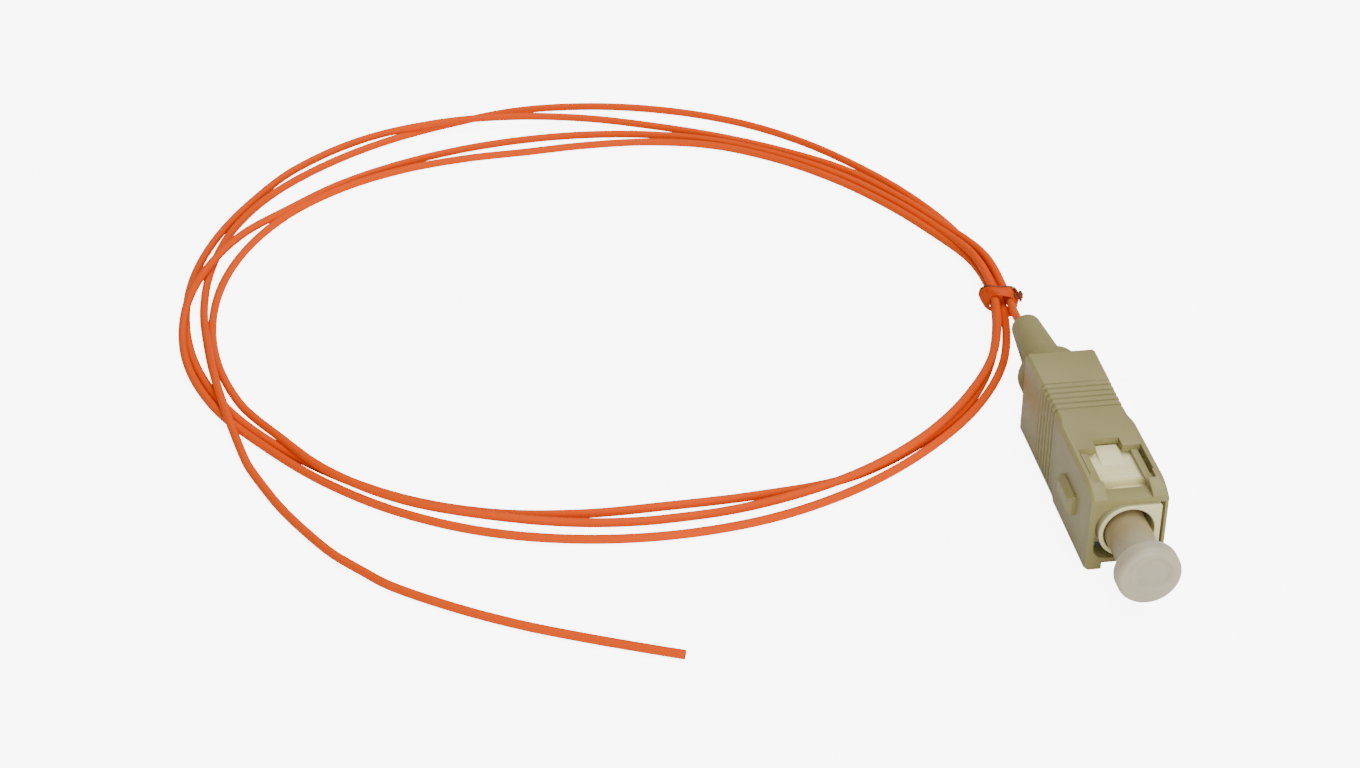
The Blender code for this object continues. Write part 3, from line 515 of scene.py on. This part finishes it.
# %% Ceramic and metal
def polished(name, colour, roughness, metallic, streak_scale):
    """Hard, smooth material with faint turning marks round the plug's axis."""
    made = bpy.data.materials.new(name)
    made.use_nodes = True
    tree = made.node_tree
    shader = tree.nodes["Principled BSDF"]
    shader.inputs["Base Color"].default_value = (*colour, 1)
    shader.inputs["Metallic"].default_value = metallic
    place = tree.nodes.new("ShaderNodeTexCoord")
    stretch = tree.nodes.new("ShaderNodeMapping")
    stretch.inputs["Scale"].default_value = (0.02, 1.0, 0.02)
    tree.links.new(place.outputs["Object"], stretch.inputs["Vector"])
    streaks = tree.nodes.new("ShaderNodeTexNoise")
    streaks.inputs["Scale"].default_value = streak_scale
    tree.links.new(stretch.outputs["Vector"], streaks.inputs["Vector"])
    gloss = tree.nodes.new("ShaderNodeMapRange")
    gloss.inputs["To Min"].default_value = roughness * 0.7
    gloss.inputs["To Max"].default_value = roughness * 1.3
    tree.links.new(streaks.outputs["Fac"], gloss.inputs["Value"])
    tree.links.new(gloss.outputs["Result"], shader.inputs["Roughness"])
    return made


ceramic_white = polished("ceramic_white", (0.85, 0.84, 0.80), 0.12, 0.0, 4000.0)
turned_metal = polished("turned_metal", (0.60, 0.59, 0.57), 0.32, 1.0, 9000.0)
print("hard materials:", ceramic_white.name, "and", turned_metal.name)

# %% [markdown]
# The fibre and its tie are dressed and declared. The fibre leaves the boot's tip, and its far end is
# bare, because the real one is cut off ready for splicing.

fibre.data.materials.append(fibre_orange)
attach(fibre, "plug")
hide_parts("fibre_lead", "fibre_coil", "fibre_tail")
tie_pieces = [band, end_up, end_out, tie_edge_shadow, wire_tip]
# The two ends take soiled colour with painted shade, and the edge tube takes painted shadow.
tie_finishes = [tie_orange, tie_soil_and_shade, tie_soil_and_shade, tie_soil_and_shade, turned_metal]
for piece, finish in zip(tie_pieces, tie_finishes):
    piece.data.materials.append(finish)
    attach(piece, "plug")
    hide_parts("twist_tie")
print("fibre and", len(tie_pieces), "pieces of its tie declared")

# %% [markdown]
# The boot, the cap and the ferrule are turned shapes: an outline of depth and radius carried round
# the plug's axis. A Screw modifier could do that too, but here the outline stays in numbers that can
# be read. Corners in an outline are short arcs, so that every edge catches the light.


# %% Turned shapes
def arc(centre, size, start, end, steps=8):
    """Points on a circular arc: centre + size * (cos a, sin a), between two angles in degrees."""
    a = np.radians(np.linspace(start, end, steps + 1))
    return np.column_stack([centre[0] + size * np.cos(a), centre[1] + size * np.sin(a)])


def turned(name, profile, steps=96):
    """Surface of revolution of a closed profile of (depth, radius) about the plug's axis.

    Each point is (radius * cos a, depth, radius * sin a), for a from 0 to a full turn.
    """
    depth, radius = np.vstack(profile).T
    a = np.linspace(0, 2 * np.pi, steps, endpoint=False)
    x = radius[:, None] * np.cos(a)
    z = AXIS + radius[:, None] * np.sin(a)
    y = np.broadcast_to((FRONT + depth)[:, None], x.shape)
    made = grid_object(name, np.stack([x, y, z], axis=-1) * MM, close_rows=True, close_columns=True)
    finish_turned(made)
    return made


SHARP_FROM = math.radians(38)


def finish_turned(made):
    """Closes the poles, points the faces outwards and keeps real corners sharp."""
    shape = bmesh.new()
    shape.from_mesh(made.data)
    bmesh.ops.remove_doubles(shape, verts=shape.verts, dist=1e-7)
    bmesh.ops.recalc_face_normals(shape, faces=shape.faces)
    shape.to_mesh(made.data)
    shape.free()
    made.data.shade_smooth()
    made.data.set_sharp_from_angle(angle=SHARP_FROM)


def dress(piece, body, finish, slot, *replaced):
    """Gives a piece its finish and body, and hides the nodes that it stands for. The slot is not used."""
    piece.data.materials.clear()
    piece.data.materials.append(finish)
    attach(piece, body)
    if replaced:
        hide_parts(*replaced)


print("a quarter arc has", len(arc((0, 0), 1, 0, 90)), "points, and edges above 38 degrees stay sharp")

# %% [markdown]
# The boot is soft rubber that keeps the fibre from bending sharply. Behind its round collar it sweeps
# in a hollow curve to a slim cone, and it ends in a rounded tip that the fibre comes out of. The sweep
# falls as the third power of what is left of its length, which is steep at first and then flat.

# %% Boot
COLLAR_START = (boot_low[1] - FRONT_Y) / MM
BOOT_END = (boot_high[1] - FRONT_Y) / MM
COLLAR_RADIUS = (boot_high[0] - boot_low[0]) / 2 / MM
COLLAR_END = COLLAR_START + 1.7
COLLAR_ROUND = 0.3
ROOT_RADIUS, TIP_RADIUS, TIP_ROUND = 2.05, 1.55, 0.5
SWEEP_LENGTH, SWEEP_DROP = 2.6, 0.45
SPIGOT_BORE, FIBRE_BORE = 1.5, 0.5
BORE_STEP = (spigot_end - FRONT_Y) / MM + 0.3
share = np.linspace(0, 1, 16)
sweep = np.column_stack([
    COLLAR_END + SWEEP_LENGTH * share,
    ROOT_RADIUS + (COLLAR_RADIUS - SWEEP_DROP - ROOT_RADIUS) * (1 - share) ** 3,
])
boot = turned("boot_skin", [
    [(COLLAR_START, SPIGOT_BORE), (COLLAR_START, COLLAR_RADIUS - COLLAR_ROUND)],
    arc((COLLAR_START + COLLAR_ROUND, COLLAR_RADIUS - COLLAR_ROUND), COLLAR_ROUND, 180, 90)[1:],
    arc((COLLAR_END - COLLAR_ROUND, COLLAR_RADIUS - COLLAR_ROUND), COLLAR_ROUND, 90, 0),
    sweep,
    arc((BOOT_END - TIP_ROUND, TIP_RADIUS - TIP_ROUND), TIP_ROUND, 85, 20),
    [(BOOT_END, 0.8), (BOOT_END - 0.25, FIBRE_BORE), (BORE_STEP, FIBRE_BORE), (BORE_STEP, SPIGOT_BORE)],
])
dress(boot, "plug", boot_beige, "boot", "boot")
print("boot from", round(COLLAR_START, 1), "to", round(BOOT_END, 1), "mm behind the front face")

# %% [markdown]
# The dust cap is moulded from frosted plastic: a hollow stem that slides over the ferrule, and a thick
# disc to pull it by, with a shallow dent in its face. The outline turned about the axis gives the
# plain shape. The dent isn't quite central and the cap sits a little askew, so the turned points are
# then moved by two smooth functions.

# %% Dust cap
cap_low, cap_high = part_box("dust_cap")
CAP_FACE = (cap_low[1] - FRONT_Y) / MM - 0.25
CAP_END = (cap_high[1] - FRONT_Y) / MM
DISC_RADIUS = (cap_high[0] - cap_low[0]) / 2 / MM
STEM_RADIUS, CAP_BORE, BORE_FRONT = 2.1, 1.6, -4.9
DISC_THICKNESS, FACE_ROUND, BACK_ROUND = 1.95, 0.6, 0.5
DISC_BACK = CAP_FACE + DISC_THICKNESS
DENT_RADIUS, DENT_DEPTH, DENT_SOFTNESS, DENT_CENTRE = 1.6, 0.2, 0.12, (0.3, 0.4)
SWELLING, SWELLING_PLACE, SWELLING_WIDTH = 0.04, 0.3, 0.2
DISC_ASIDE, STEM_ASIDE, ASIDE_LENGTH = (0.06, 0.0, -0.18), (-0.16, 0.0, -0.05), 4.0
face_radius = np.linspace(DISC_RADIUS - FACE_ROUND, 0.0, 70)
disc_face = np.column_stack([np.full_like(face_radius, CAP_FACE), face_radius])


def settle_cap(made):
    """Presses the dent into the disc's face, and lets the whole cap sit a little askew.

    The dent's depth falls from full to nothing in a narrow S-curve at the dent's radius, with a faint
    swelling outside it. The shift goes evenly from the disc's to the stem's, which it has in the nose.
    """
    points = np.empty(len(made.data.vertices) * 3)
    made.data.vertices.foreach_get("co", points)
    points = points.reshape(-1, 3) / MM
    centre = np.array([DENT_CENTRE[0], AXIS + DENT_CENTRE[1]])
    away = np.linalg.norm(points[:, [0, 2]] - centre, axis=1)
    dent = DENT_DEPTH / (1 + np.exp((away - DENT_RADIUS) / DENT_SOFTNESS))
    swelling = SWELLING * np.exp(-(((away - DENT_RADIUS - SWELLING_PLACE) / SWELLING_WIDTH) ** 2))
    depth = points[:, 1] - FRONT
    points[:, 1] += np.where(depth < CAP_FACE + 0.05, dent - swelling, 0.0)
    aside = np.clip((depth - DISC_BACK) / ASIDE_LENGTH, 0, 1)[:, None]
    points += (1 - aside) * DISC_ASIDE + aside * STEM_ASIDE
    made.data.vertices.foreach_set("co", (points * MM).ravel())
    made.data.update()


cap = turned("cap_skin", [
    [(CAP_END, CAP_BORE), (CAP_END, STEM_RADIUS - 0.1), (CAP_END - 0.1, STEM_RADIUS)],
    [(DISC_BACK + 0.2, STEM_RADIUS), (DISC_BACK + 0.05, STEM_RADIUS + 0.05)],
    [(DISC_BACK, STEM_RADIUS + 0.2)],
    arc((DISC_BACK - BACK_ROUND, DISC_RADIUS - BACK_ROUND), BACK_ROUND, 0, 90),
    arc((CAP_FACE + FACE_ROUND, DISC_RADIUS - FACE_ROUND), FACE_ROUND, 90, 180)[:-1],
    disc_face,
    [(BORE_FRONT, 0.0), (BORE_FRONT, CAP_BORE)],
])
settle_cap(cap)
dress(cap, "cap", cap_frosted, "cap", "dust_cap")
print("cap disc", round(2 * DISC_RADIUS, 1), "mm across")

# %% [markdown]
# The ferrule is a ceramic rod that holds the glass fibre in its middle, ground flat and bevelled at its
# tip. It shows only when the cap is off, so it is one more turned outline.

# %% Ferrule
ferrule_low, ferrule_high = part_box("ferrule")
FERRULE_TIP = (ferrule_low[1] - FRONT_Y) / MM
FERRULE_END = (ferrule_high[1] - FRONT_Y) / MM
FERRULE_RADIUS, TIP_BEVEL, TIP_FLAT = 1.25, 0.3, 0.7
ferrule = turned("ferrule_rod", [
    [(FERRULE_TIP, 0.0), (FERRULE_TIP, TIP_FLAT), (FERRULE_TIP + 0.04, FERRULE_RADIUS - TIP_BEVEL)],
    arc((FERRULE_TIP + 0.35, FERRULE_RADIUS - TIP_BEVEL), TIP_BEVEL, 150, 90),
    [(FERRULE_END, FERRULE_RADIUS), (FERRULE_END, 0.0)],
])
dress(ferrule, "ferrule", ceramic_white, "ceramic", "ferrule")
print("ferrule", round(FERRULE_END - FERRULE_TIP, 2), "mm long")

# %% [markdown]
# The flange and the rear body are turned metal that hardly shows between the housing and the boot.
# Their solids are right as they are, so they only get their finish.

# %% Metal pieces
for node in ("ferrule_flange", "rear_body"):
    nodes[node].data.materials.clear()
    nodes[node].data.materials.append(turned_metal)
print("turned metal on", len(nodes["rear_body"].data.polygons), "faces of the rear body")

# %% [markdown]
# Moulded boxes have rounded corners of different sizes. An outline round such a box, placed at one
# depth after another, gives a skin. Outlines with equal numbers of points join without any twist.


# %% Outline of a moulded box
def outline(left, right, low, high, radii, corner_steps=8, edge_steps=9):
    """Points round a rectangle with four rounded corners, from the lower right corner upwards.

    Each corner is a quarter circle, and each edge between two corners is split evenly, so that every
    outline has the same number of points and a skin can be drawn from one to the next.
    """
    points = []
    for i, radius in enumerate(radii):
        x = right - radius if i < 2 else left + radius
        z = high - radius if i in (1, 2) else low + radius
        a = np.radians(np.linspace(90 * i - 90, 90 * i, corner_steps + 1))
        points.append(np.column_stack([x + radius * np.cos(a), z + radius * np.sin(a)]))
    rows = []
    for corner, following in zip(points, points[1:] + points[:1]):
        rows += [corner, np.linspace(corner[-1], following[0], edge_steps + 2)[1:-1]]
    return np.vstack(rows)


def at_depth(depth, points):
    """Places (across, height) points in mm at one depth behind the housing's front face."""
    y = np.full(len(points), FRONT + depth)
    return np.column_stack([points[:, 0], y, points[:, 1]])


def skin(name, rows, close_rows=False):
    """A closed skin through rows of points in mm, capped at its ends unless it closes on itself."""
    grid = np.array(rows) * MM
    made = grid_object(name, grid, close_rows=close_rows, close_columns=True, caps=not close_rows)
    finish_turned(made)
    return made


def prism(name, points, start, end):
    """A straight bar whose section is the given outline, from one depth to another."""
    return skin(name, [at_depth(start, points), at_depth(end, points)])


print("an outline has", len(outline(-1, 1, -1, 1, (0.2,) * 4)), "points")

# %% [markdown]
# The housing is a moulded box with windows, ribs and a key. All of that is in its solid already, so a
# copy of the solid is merged into clean faces. Two small shapes change its mouth: one fills the upper
# left corner with a wider curve, and one cuts the narrow slot beside the right wall. Then a Bevel
# rounds every edge by a tenth of a millimetre, since no moulded edge is sharp.

# %% Housing
MOUTH_LEFT, MOUTH_TOP, WIDE_CORNER, INTO_WALL = -3.1, 7.5, 2.5, 0.15
FILL_DEPTHS = (0.03, 1.8)
SLOT_BOX, SLOT_DEPTHS = (2.9, 3.4, 1.6, 7.45), (-0.5, 4.4)
EDGE_ROUND = 0.1 * MM
corner_x, corner_z = MOUTH_LEFT + WIDE_CORNER, MOUTH_TOP - WIDE_CORNER
quarter = arc((corner_x, corner_z), WIDE_CORNER, 180, 90, steps=14)
in_wall = [
    (corner_x, MOUTH_TOP + INTO_WALL),
    (MOUTH_LEFT - INTO_WALL, MOUTH_TOP + INTO_WALL),
    (MOUTH_LEFT - INTO_WALL, corner_z),
]
corner_fill = prism("corner_fill", np.vstack([quarter, in_wall]), *FILL_DEPTHS)
slot_cut = prism("slot_cut", outline(*SLOT_BOX, (0.05,) * 4, 1, 0), *SLOT_DEPTHS)


def merged_copy(name, node):
    """A copy of a solid's mesh whose doubled corners are merged and whose flat faces are whole again."""
    shape = bmesh.new()
    shape.from_mesh(nodes[node].data)
    bmesh.ops.remove_doubles(shape, verts=shape.verts, dist=1e-6)
    flatten(shape)
    mesh = bpy.data.meshes.new(name)
    shape.to_mesh(mesh)
    shape.free()
    made = bpy.data.objects.new(name, mesh)
    bpy.context.scene.collection.objects.link(made)
    return made


def flatten(shape):
    """Joins neighbouring faces that lie in one plane."""
    bmesh.ops.dissolve_limit(
        shape, angle_limit=math.radians(1.0), verts=shape.verts, edges=shape.edges, delimit={"NORMAL"}
    )


def reshaped(made, steps):
    """Joins or cuts with other shapes, keeps the result as the mesh, and removes those shapes."""
    for other, operation in steps:
        step = made.modifiers.new(other.name, "BOOLEAN")
        step.operation, step.solver, step.object = operation, "EXACT", other
    result = made.evaluated_get(bpy.context.evaluated_depsgraph_get())
    mesh = bpy.data.meshes.new_from_object(result)
    made.modifiers.clear()
    made.data = mesh
    shape = bmesh.new()
    shape.from_mesh(mesh)
    flatten(shape)
    shape.to_mesh(mesh)
    shape.free()
    for other, _ in steps:
        bpy.data.objects.remove(other, do_unlink=True)


def soften(made, width, segments=2):
    """Rounds every real edge with a Bevel, whose flat faces keep straight shading."""
    made.data.shade_smooth()
    soft = made.modifiers.new("soft_edges", "BEVEL")
    soft.width = width
    soft.segments = segments
    soft.limit_method = "ANGLE"
    soft.angle_limit = math.radians(28)
    soft.harden_normals = True
    soft.use_clamp_overlap = True


housing = merged_copy("housing_shell", "outer_housing")
reshaped(housing, [(corner_fill, "UNION"), (slot_cut, "DIFFERENCE")])
soften(housing, EDGE_ROUND)
dress(housing, "housing", housing_beige, "housing", "outer_housing")
print("housing shell:", len(housing.data.polygons), "faces before its Bevel")

# %% [markdown]
# The inner body is a cream frame. Its nose is square on one side and round on the other, with a large
# bore, and behind the nose it steps out to its full height, where an adapter's latch would hold it.
# One skin makes it: outlines along the outside, then circles back through the bore, so it closes on
# itself. Each circle has its points at the same angles as the outline's, so the front face is even.

# %% Inner body
BODY_FRONT, BODY_REAR = -0.2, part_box("inner_body")[1][1] / MM - FRONT
STEP, BODY_END = 3.25, 10.6
NOSE, NOSE_RADII = (-2.74, 3.1, 1.7, 7.3), (0.3, 0.3, 2.75, 2.75)
FULL, FULL_RADIUS = (-2.95, 2.95, 1.0, 8.0), 0.5
TAIL = (-2.5, 2.5, 1.75, 7.25)
EDGE = 0.09
BORE, COLLAR_BORE, CHAMBER, ASIDE = 2.43, 1.5, 2.2, 0.1
COLLAR_FRONT, COLLAR_BACK = 7.0, 8.2


def inset(box, amount):
    """A box (left, right, low, high) drawn in by this amount on all four sides."""
    left, right, low, high = box
    return left + amount, right - amount, low + amount, high - amount


def circle_like(points, radius, aside=0.0):
    """Points on a circle about the axis, or this far aside of it, at the angles of the given points."""
    angle = np.arctan2(points[:, 1] - AXIS, points[:, 0])
    return np.column_stack([aside + radius * np.cos(angle), AXIS + radius * np.sin(angle)])


nose = outline(*NOSE, NOSE_RADII)
nose_edge = outline(*inset(NOSE, EDGE), tuple(radius - EDGE for radius in NOSE_RADII))
full = outline(*FULL, (FULL_RADIUS,) * 4)
full_edge = outline(*inset(FULL, EDGE), (FULL_RADIUS - EDGE,) * 4)
tail = outline(*TAIL, (FULL_RADIUS,) * 4)
inner = skin("inner_shell", [
    at_depth(BODY_REAR, tail), at_depth(BODY_END, tail), at_depth(BODY_END, full),
    at_depth(STEP + EDGE, full), at_depth(STEP, full_edge), at_depth(STEP, nose),
    at_depth(BODY_FRONT + EDGE, nose), at_depth(BODY_FRONT, nose_edge),
    at_depth(BODY_FRONT, circle_like(nose, BORE + EDGE, ASIDE)),
    at_depth(BODY_FRONT + EDGE, circle_like(nose, BORE, ASIDE)),
    at_depth(COLLAR_FRONT, circle_like(nose, BORE, ASIDE)),
    at_depth(COLLAR_FRONT, circle_like(nose, COLLAR_BORE)),
    at_depth(COLLAR_BACK, circle_like(nose, COLLAR_BORE)),
    at_depth(COLLAR_BACK, circle_like(nose, CHAMBER)),
    at_depth(BODY_REAR, circle_like(nose, CHAMBER)),
], close_rows=True)
dress(inner, "plug", body_cream, "body", "inner_body")
print("inner body:", len(inner.data.polygons), "faces in one closed skin")

# %% [markdown]
# In each latch window the body carries a wedge that fills the notch at the rear and slopes down
# forwards, and two low ribs across it. They are short bars laid on the body, sunk a little into it,
# which is simpler than working such bumps into the body's own skin.


# %% Wedge and ribs in the windows
BODY_HALF_HEIGHT = 3.5
WEDGE_SECTIONS = ((8.42, 1.0, 0.34), (8.3, 1.06, 0.4), (7.2, 1.13, 0.3), (5.6, 1.13, 0.02))
WEDGE_FOOT, RIB_FOOT, RIB_HALF, RIB_EDGE = 3.2, 3.3, 2.05, 0.05


def wedge(name, side):
    """The sloping tab at the top (side 1) or bottom (side -1).

    Its four sections, each a depth, half its width and how far it stands out, get lower forwards.
    """
    rows = []
    for depth, half, stand in WEDGE_SECTIONS:
        heights = sorted((AXIS + side * (BODY_HALF_HEIGHT + stand), AXIS + side * WEDGE_FOOT))
        rows.append(at_depth(depth, outline(-half, half, *heights, (0.1,) * 4, 4, 1)))
    made = skin(name, rows)
    dress(made, "plug", body_cream, "body", "inner_body")
    return made


def rib(name, side, start, end, stand):
    """A low bar across the body between two depths, standing out by this much."""
    heights = sorted((AXIS + side * (BODY_HALF_HEIGHT + stand), AXIS + side * RIB_FOOT))
    small, large = (outline(-w, w, *heights, (0.06,) * 4, 3, 1) for w in (RIB_HALF - 0.04, RIB_HALF))
    depths = (start, start + RIB_EDGE, end - RIB_EDGE, end)
    rows = [at_depth(depth, points) for depth, points in zip(depths, (small, large, large, small))]
    made = skin(name, rows)
    dress(made, "plug", body_cream, "body", "inner_body")
    return made


body_details = []
for side, place in ((1, "top"), (-1, "bottom")):
    body_details.append(wedge(f"wedge_{place}", side))
    body_details.append(rib(f"rib_front_{place}", side, 3.3, 3.95, 0.07))
    body_details.append(rib(f"rib_rear_{place}", side, 4.62, 4.85, 0.05))
print(len(body_details), "small bars on the inner body")

# %% [markdown]
# The floor is plain and pale. In the photograph it is burnt out to white, while the plug keeps its
# colour. More lamp light can't do that, because it would pale the plug as well. So two sheets lie on
# each other: the lamps' light bounces off a white floor, and the camera sees a sheet that glows, whose
# light reaches nothing else.

# %% Floor
FLOOR_REACH = 1.5
FLOOR_GLOW, GLOW_LIFT = 7.0, 0.005 * MM
UNDER_PLUG = np.array([(-3.4, -9.3, 0), (3.4, -9.3, 0), (3.4, 12.5, 0), (-3.4, 12.5, 0)]) * MM
corners = np.array([(-1, -1, 0), (1, -1, 0), (1, 1, 0), (-1, 1, 0)]) * FLOOR_REACH


def sheet(name, lift, glow):
    """A large square sheet of matt white, lifted this far, that glows this much.

    A glowing sheet is open under the plug, where it would shine up through the windows.
    """
    points, faces = corners, [(0, 1, 2, 3)]
    if glow:
        points = np.vstack([corners, UNDER_PLUG])
        faces = [(i, (i + 1) % 4, 4 + (i + 1) % 4, 4 + i) for i in range(4)]
    made = object_from(name, points + (0, 0, lift), faces)
    paper = bpy.data.materials.new(name)
    paper.use_nodes = True
    shader = paper.node_tree.nodes["Principled BSDF"]
    shader.inputs["Base Color"].default_value = (0.93, 0.93, 0.93, 1.0)
    shader.inputs["Roughness"].default_value = 0.9
    shader.inputs["Specular IOR Level"].default_value = 0.1
    shader.inputs["Emission Color"].default_value = (1.0, 1.0, 1.0, 1.0)
    shader.inputs["Emission Strength"].default_value = glow
    paper.cycles.emission_sampling = "NONE"
    made.data.materials.append(paper)
    return made


sheet("floor", 0.0, 0.0)
seen_floor = sheet("seen_floor", GLOW_LIFT, FLOOR_GLOW)
seen_floor.visible_diffuse = False
seen_floor.visible_glossy = False
seen_floor.visible_transmission = False
seen_floor.visible_shadow = False
print("floor reaches", FLOOR_REACH, "m each way")

# %% [markdown]
# Large soft lamps stand for a light tent. The pale surroundings fill every shadow, a lamp above gives
# the tops their light, and another in front keeps the front face from falling dark. A black card
# on the left, out of the picture, gives the broad side its shade, as photographers do. All of it is
# large and soft, so that small glossy pieces show wide, calm highlights.

# %% Light
world = bpy.data.worlds.new("studio")
world.use_nodes = True
world.node_tree.nodes["Background"].inputs["Color"].default_value = (1.0, 1.0, 1.0, 1.0)
world.node_tree.nodes["Background"].inputs["Strength"].default_value = 0.47
bpy.context.scene.world = world


def lamp(name, place, target, size, power):
    """A square soft lamp at a place in metres, turned towards a target."""
    data = bpy.data.lights.new(name, "AREA")
    data.size = size
    data.energy = power
    made = bpy.data.objects.new(name, data)
    made.location = place
    away = np.array(place) - np.array(target)
    flat = math.hypot(away[0], away[1])
    made.rotation_euler = (math.atan2(flat, away[2]), 0.0, math.atan2(away[0], -away[1]))
    bpy.context.scene.collection.objects.link(made)


def dark_card(across, reach, height):
    """A black card that the camera doesn't see, this far to the side, which keeps light off that side."""
    outer = [(across, -reach, 0), (across, reach, 0), (across, reach, height), (across, -reach, height)]
    made = object_from("dark_card", np.array(outer), [(0, 1, 2, 3)])
    felt = bpy.data.materials.new("dark_card")
    felt.use_nodes = True
    felt.node_tree.nodes["Principled BSDF"].inputs["Base Color"].default_value = (0.01, 0.01, 0.01, 1.0)
    made.data.materials.append(felt)
    made.visible_camera = False


dark_card(-0.45, 0.7, 0.4)
middle = (-0.03, 0.03, 0.0)
lamp("top_lamp", (0.12, 0.2, 0.9), middle, 0.7, 7.4)
lamp("front_lamp", (0.05, -0.9, 0.4), middle, 0.8, 9.6)
print("lamps:", ", ".join(sorted(data.name for data in bpy.data.lights)))
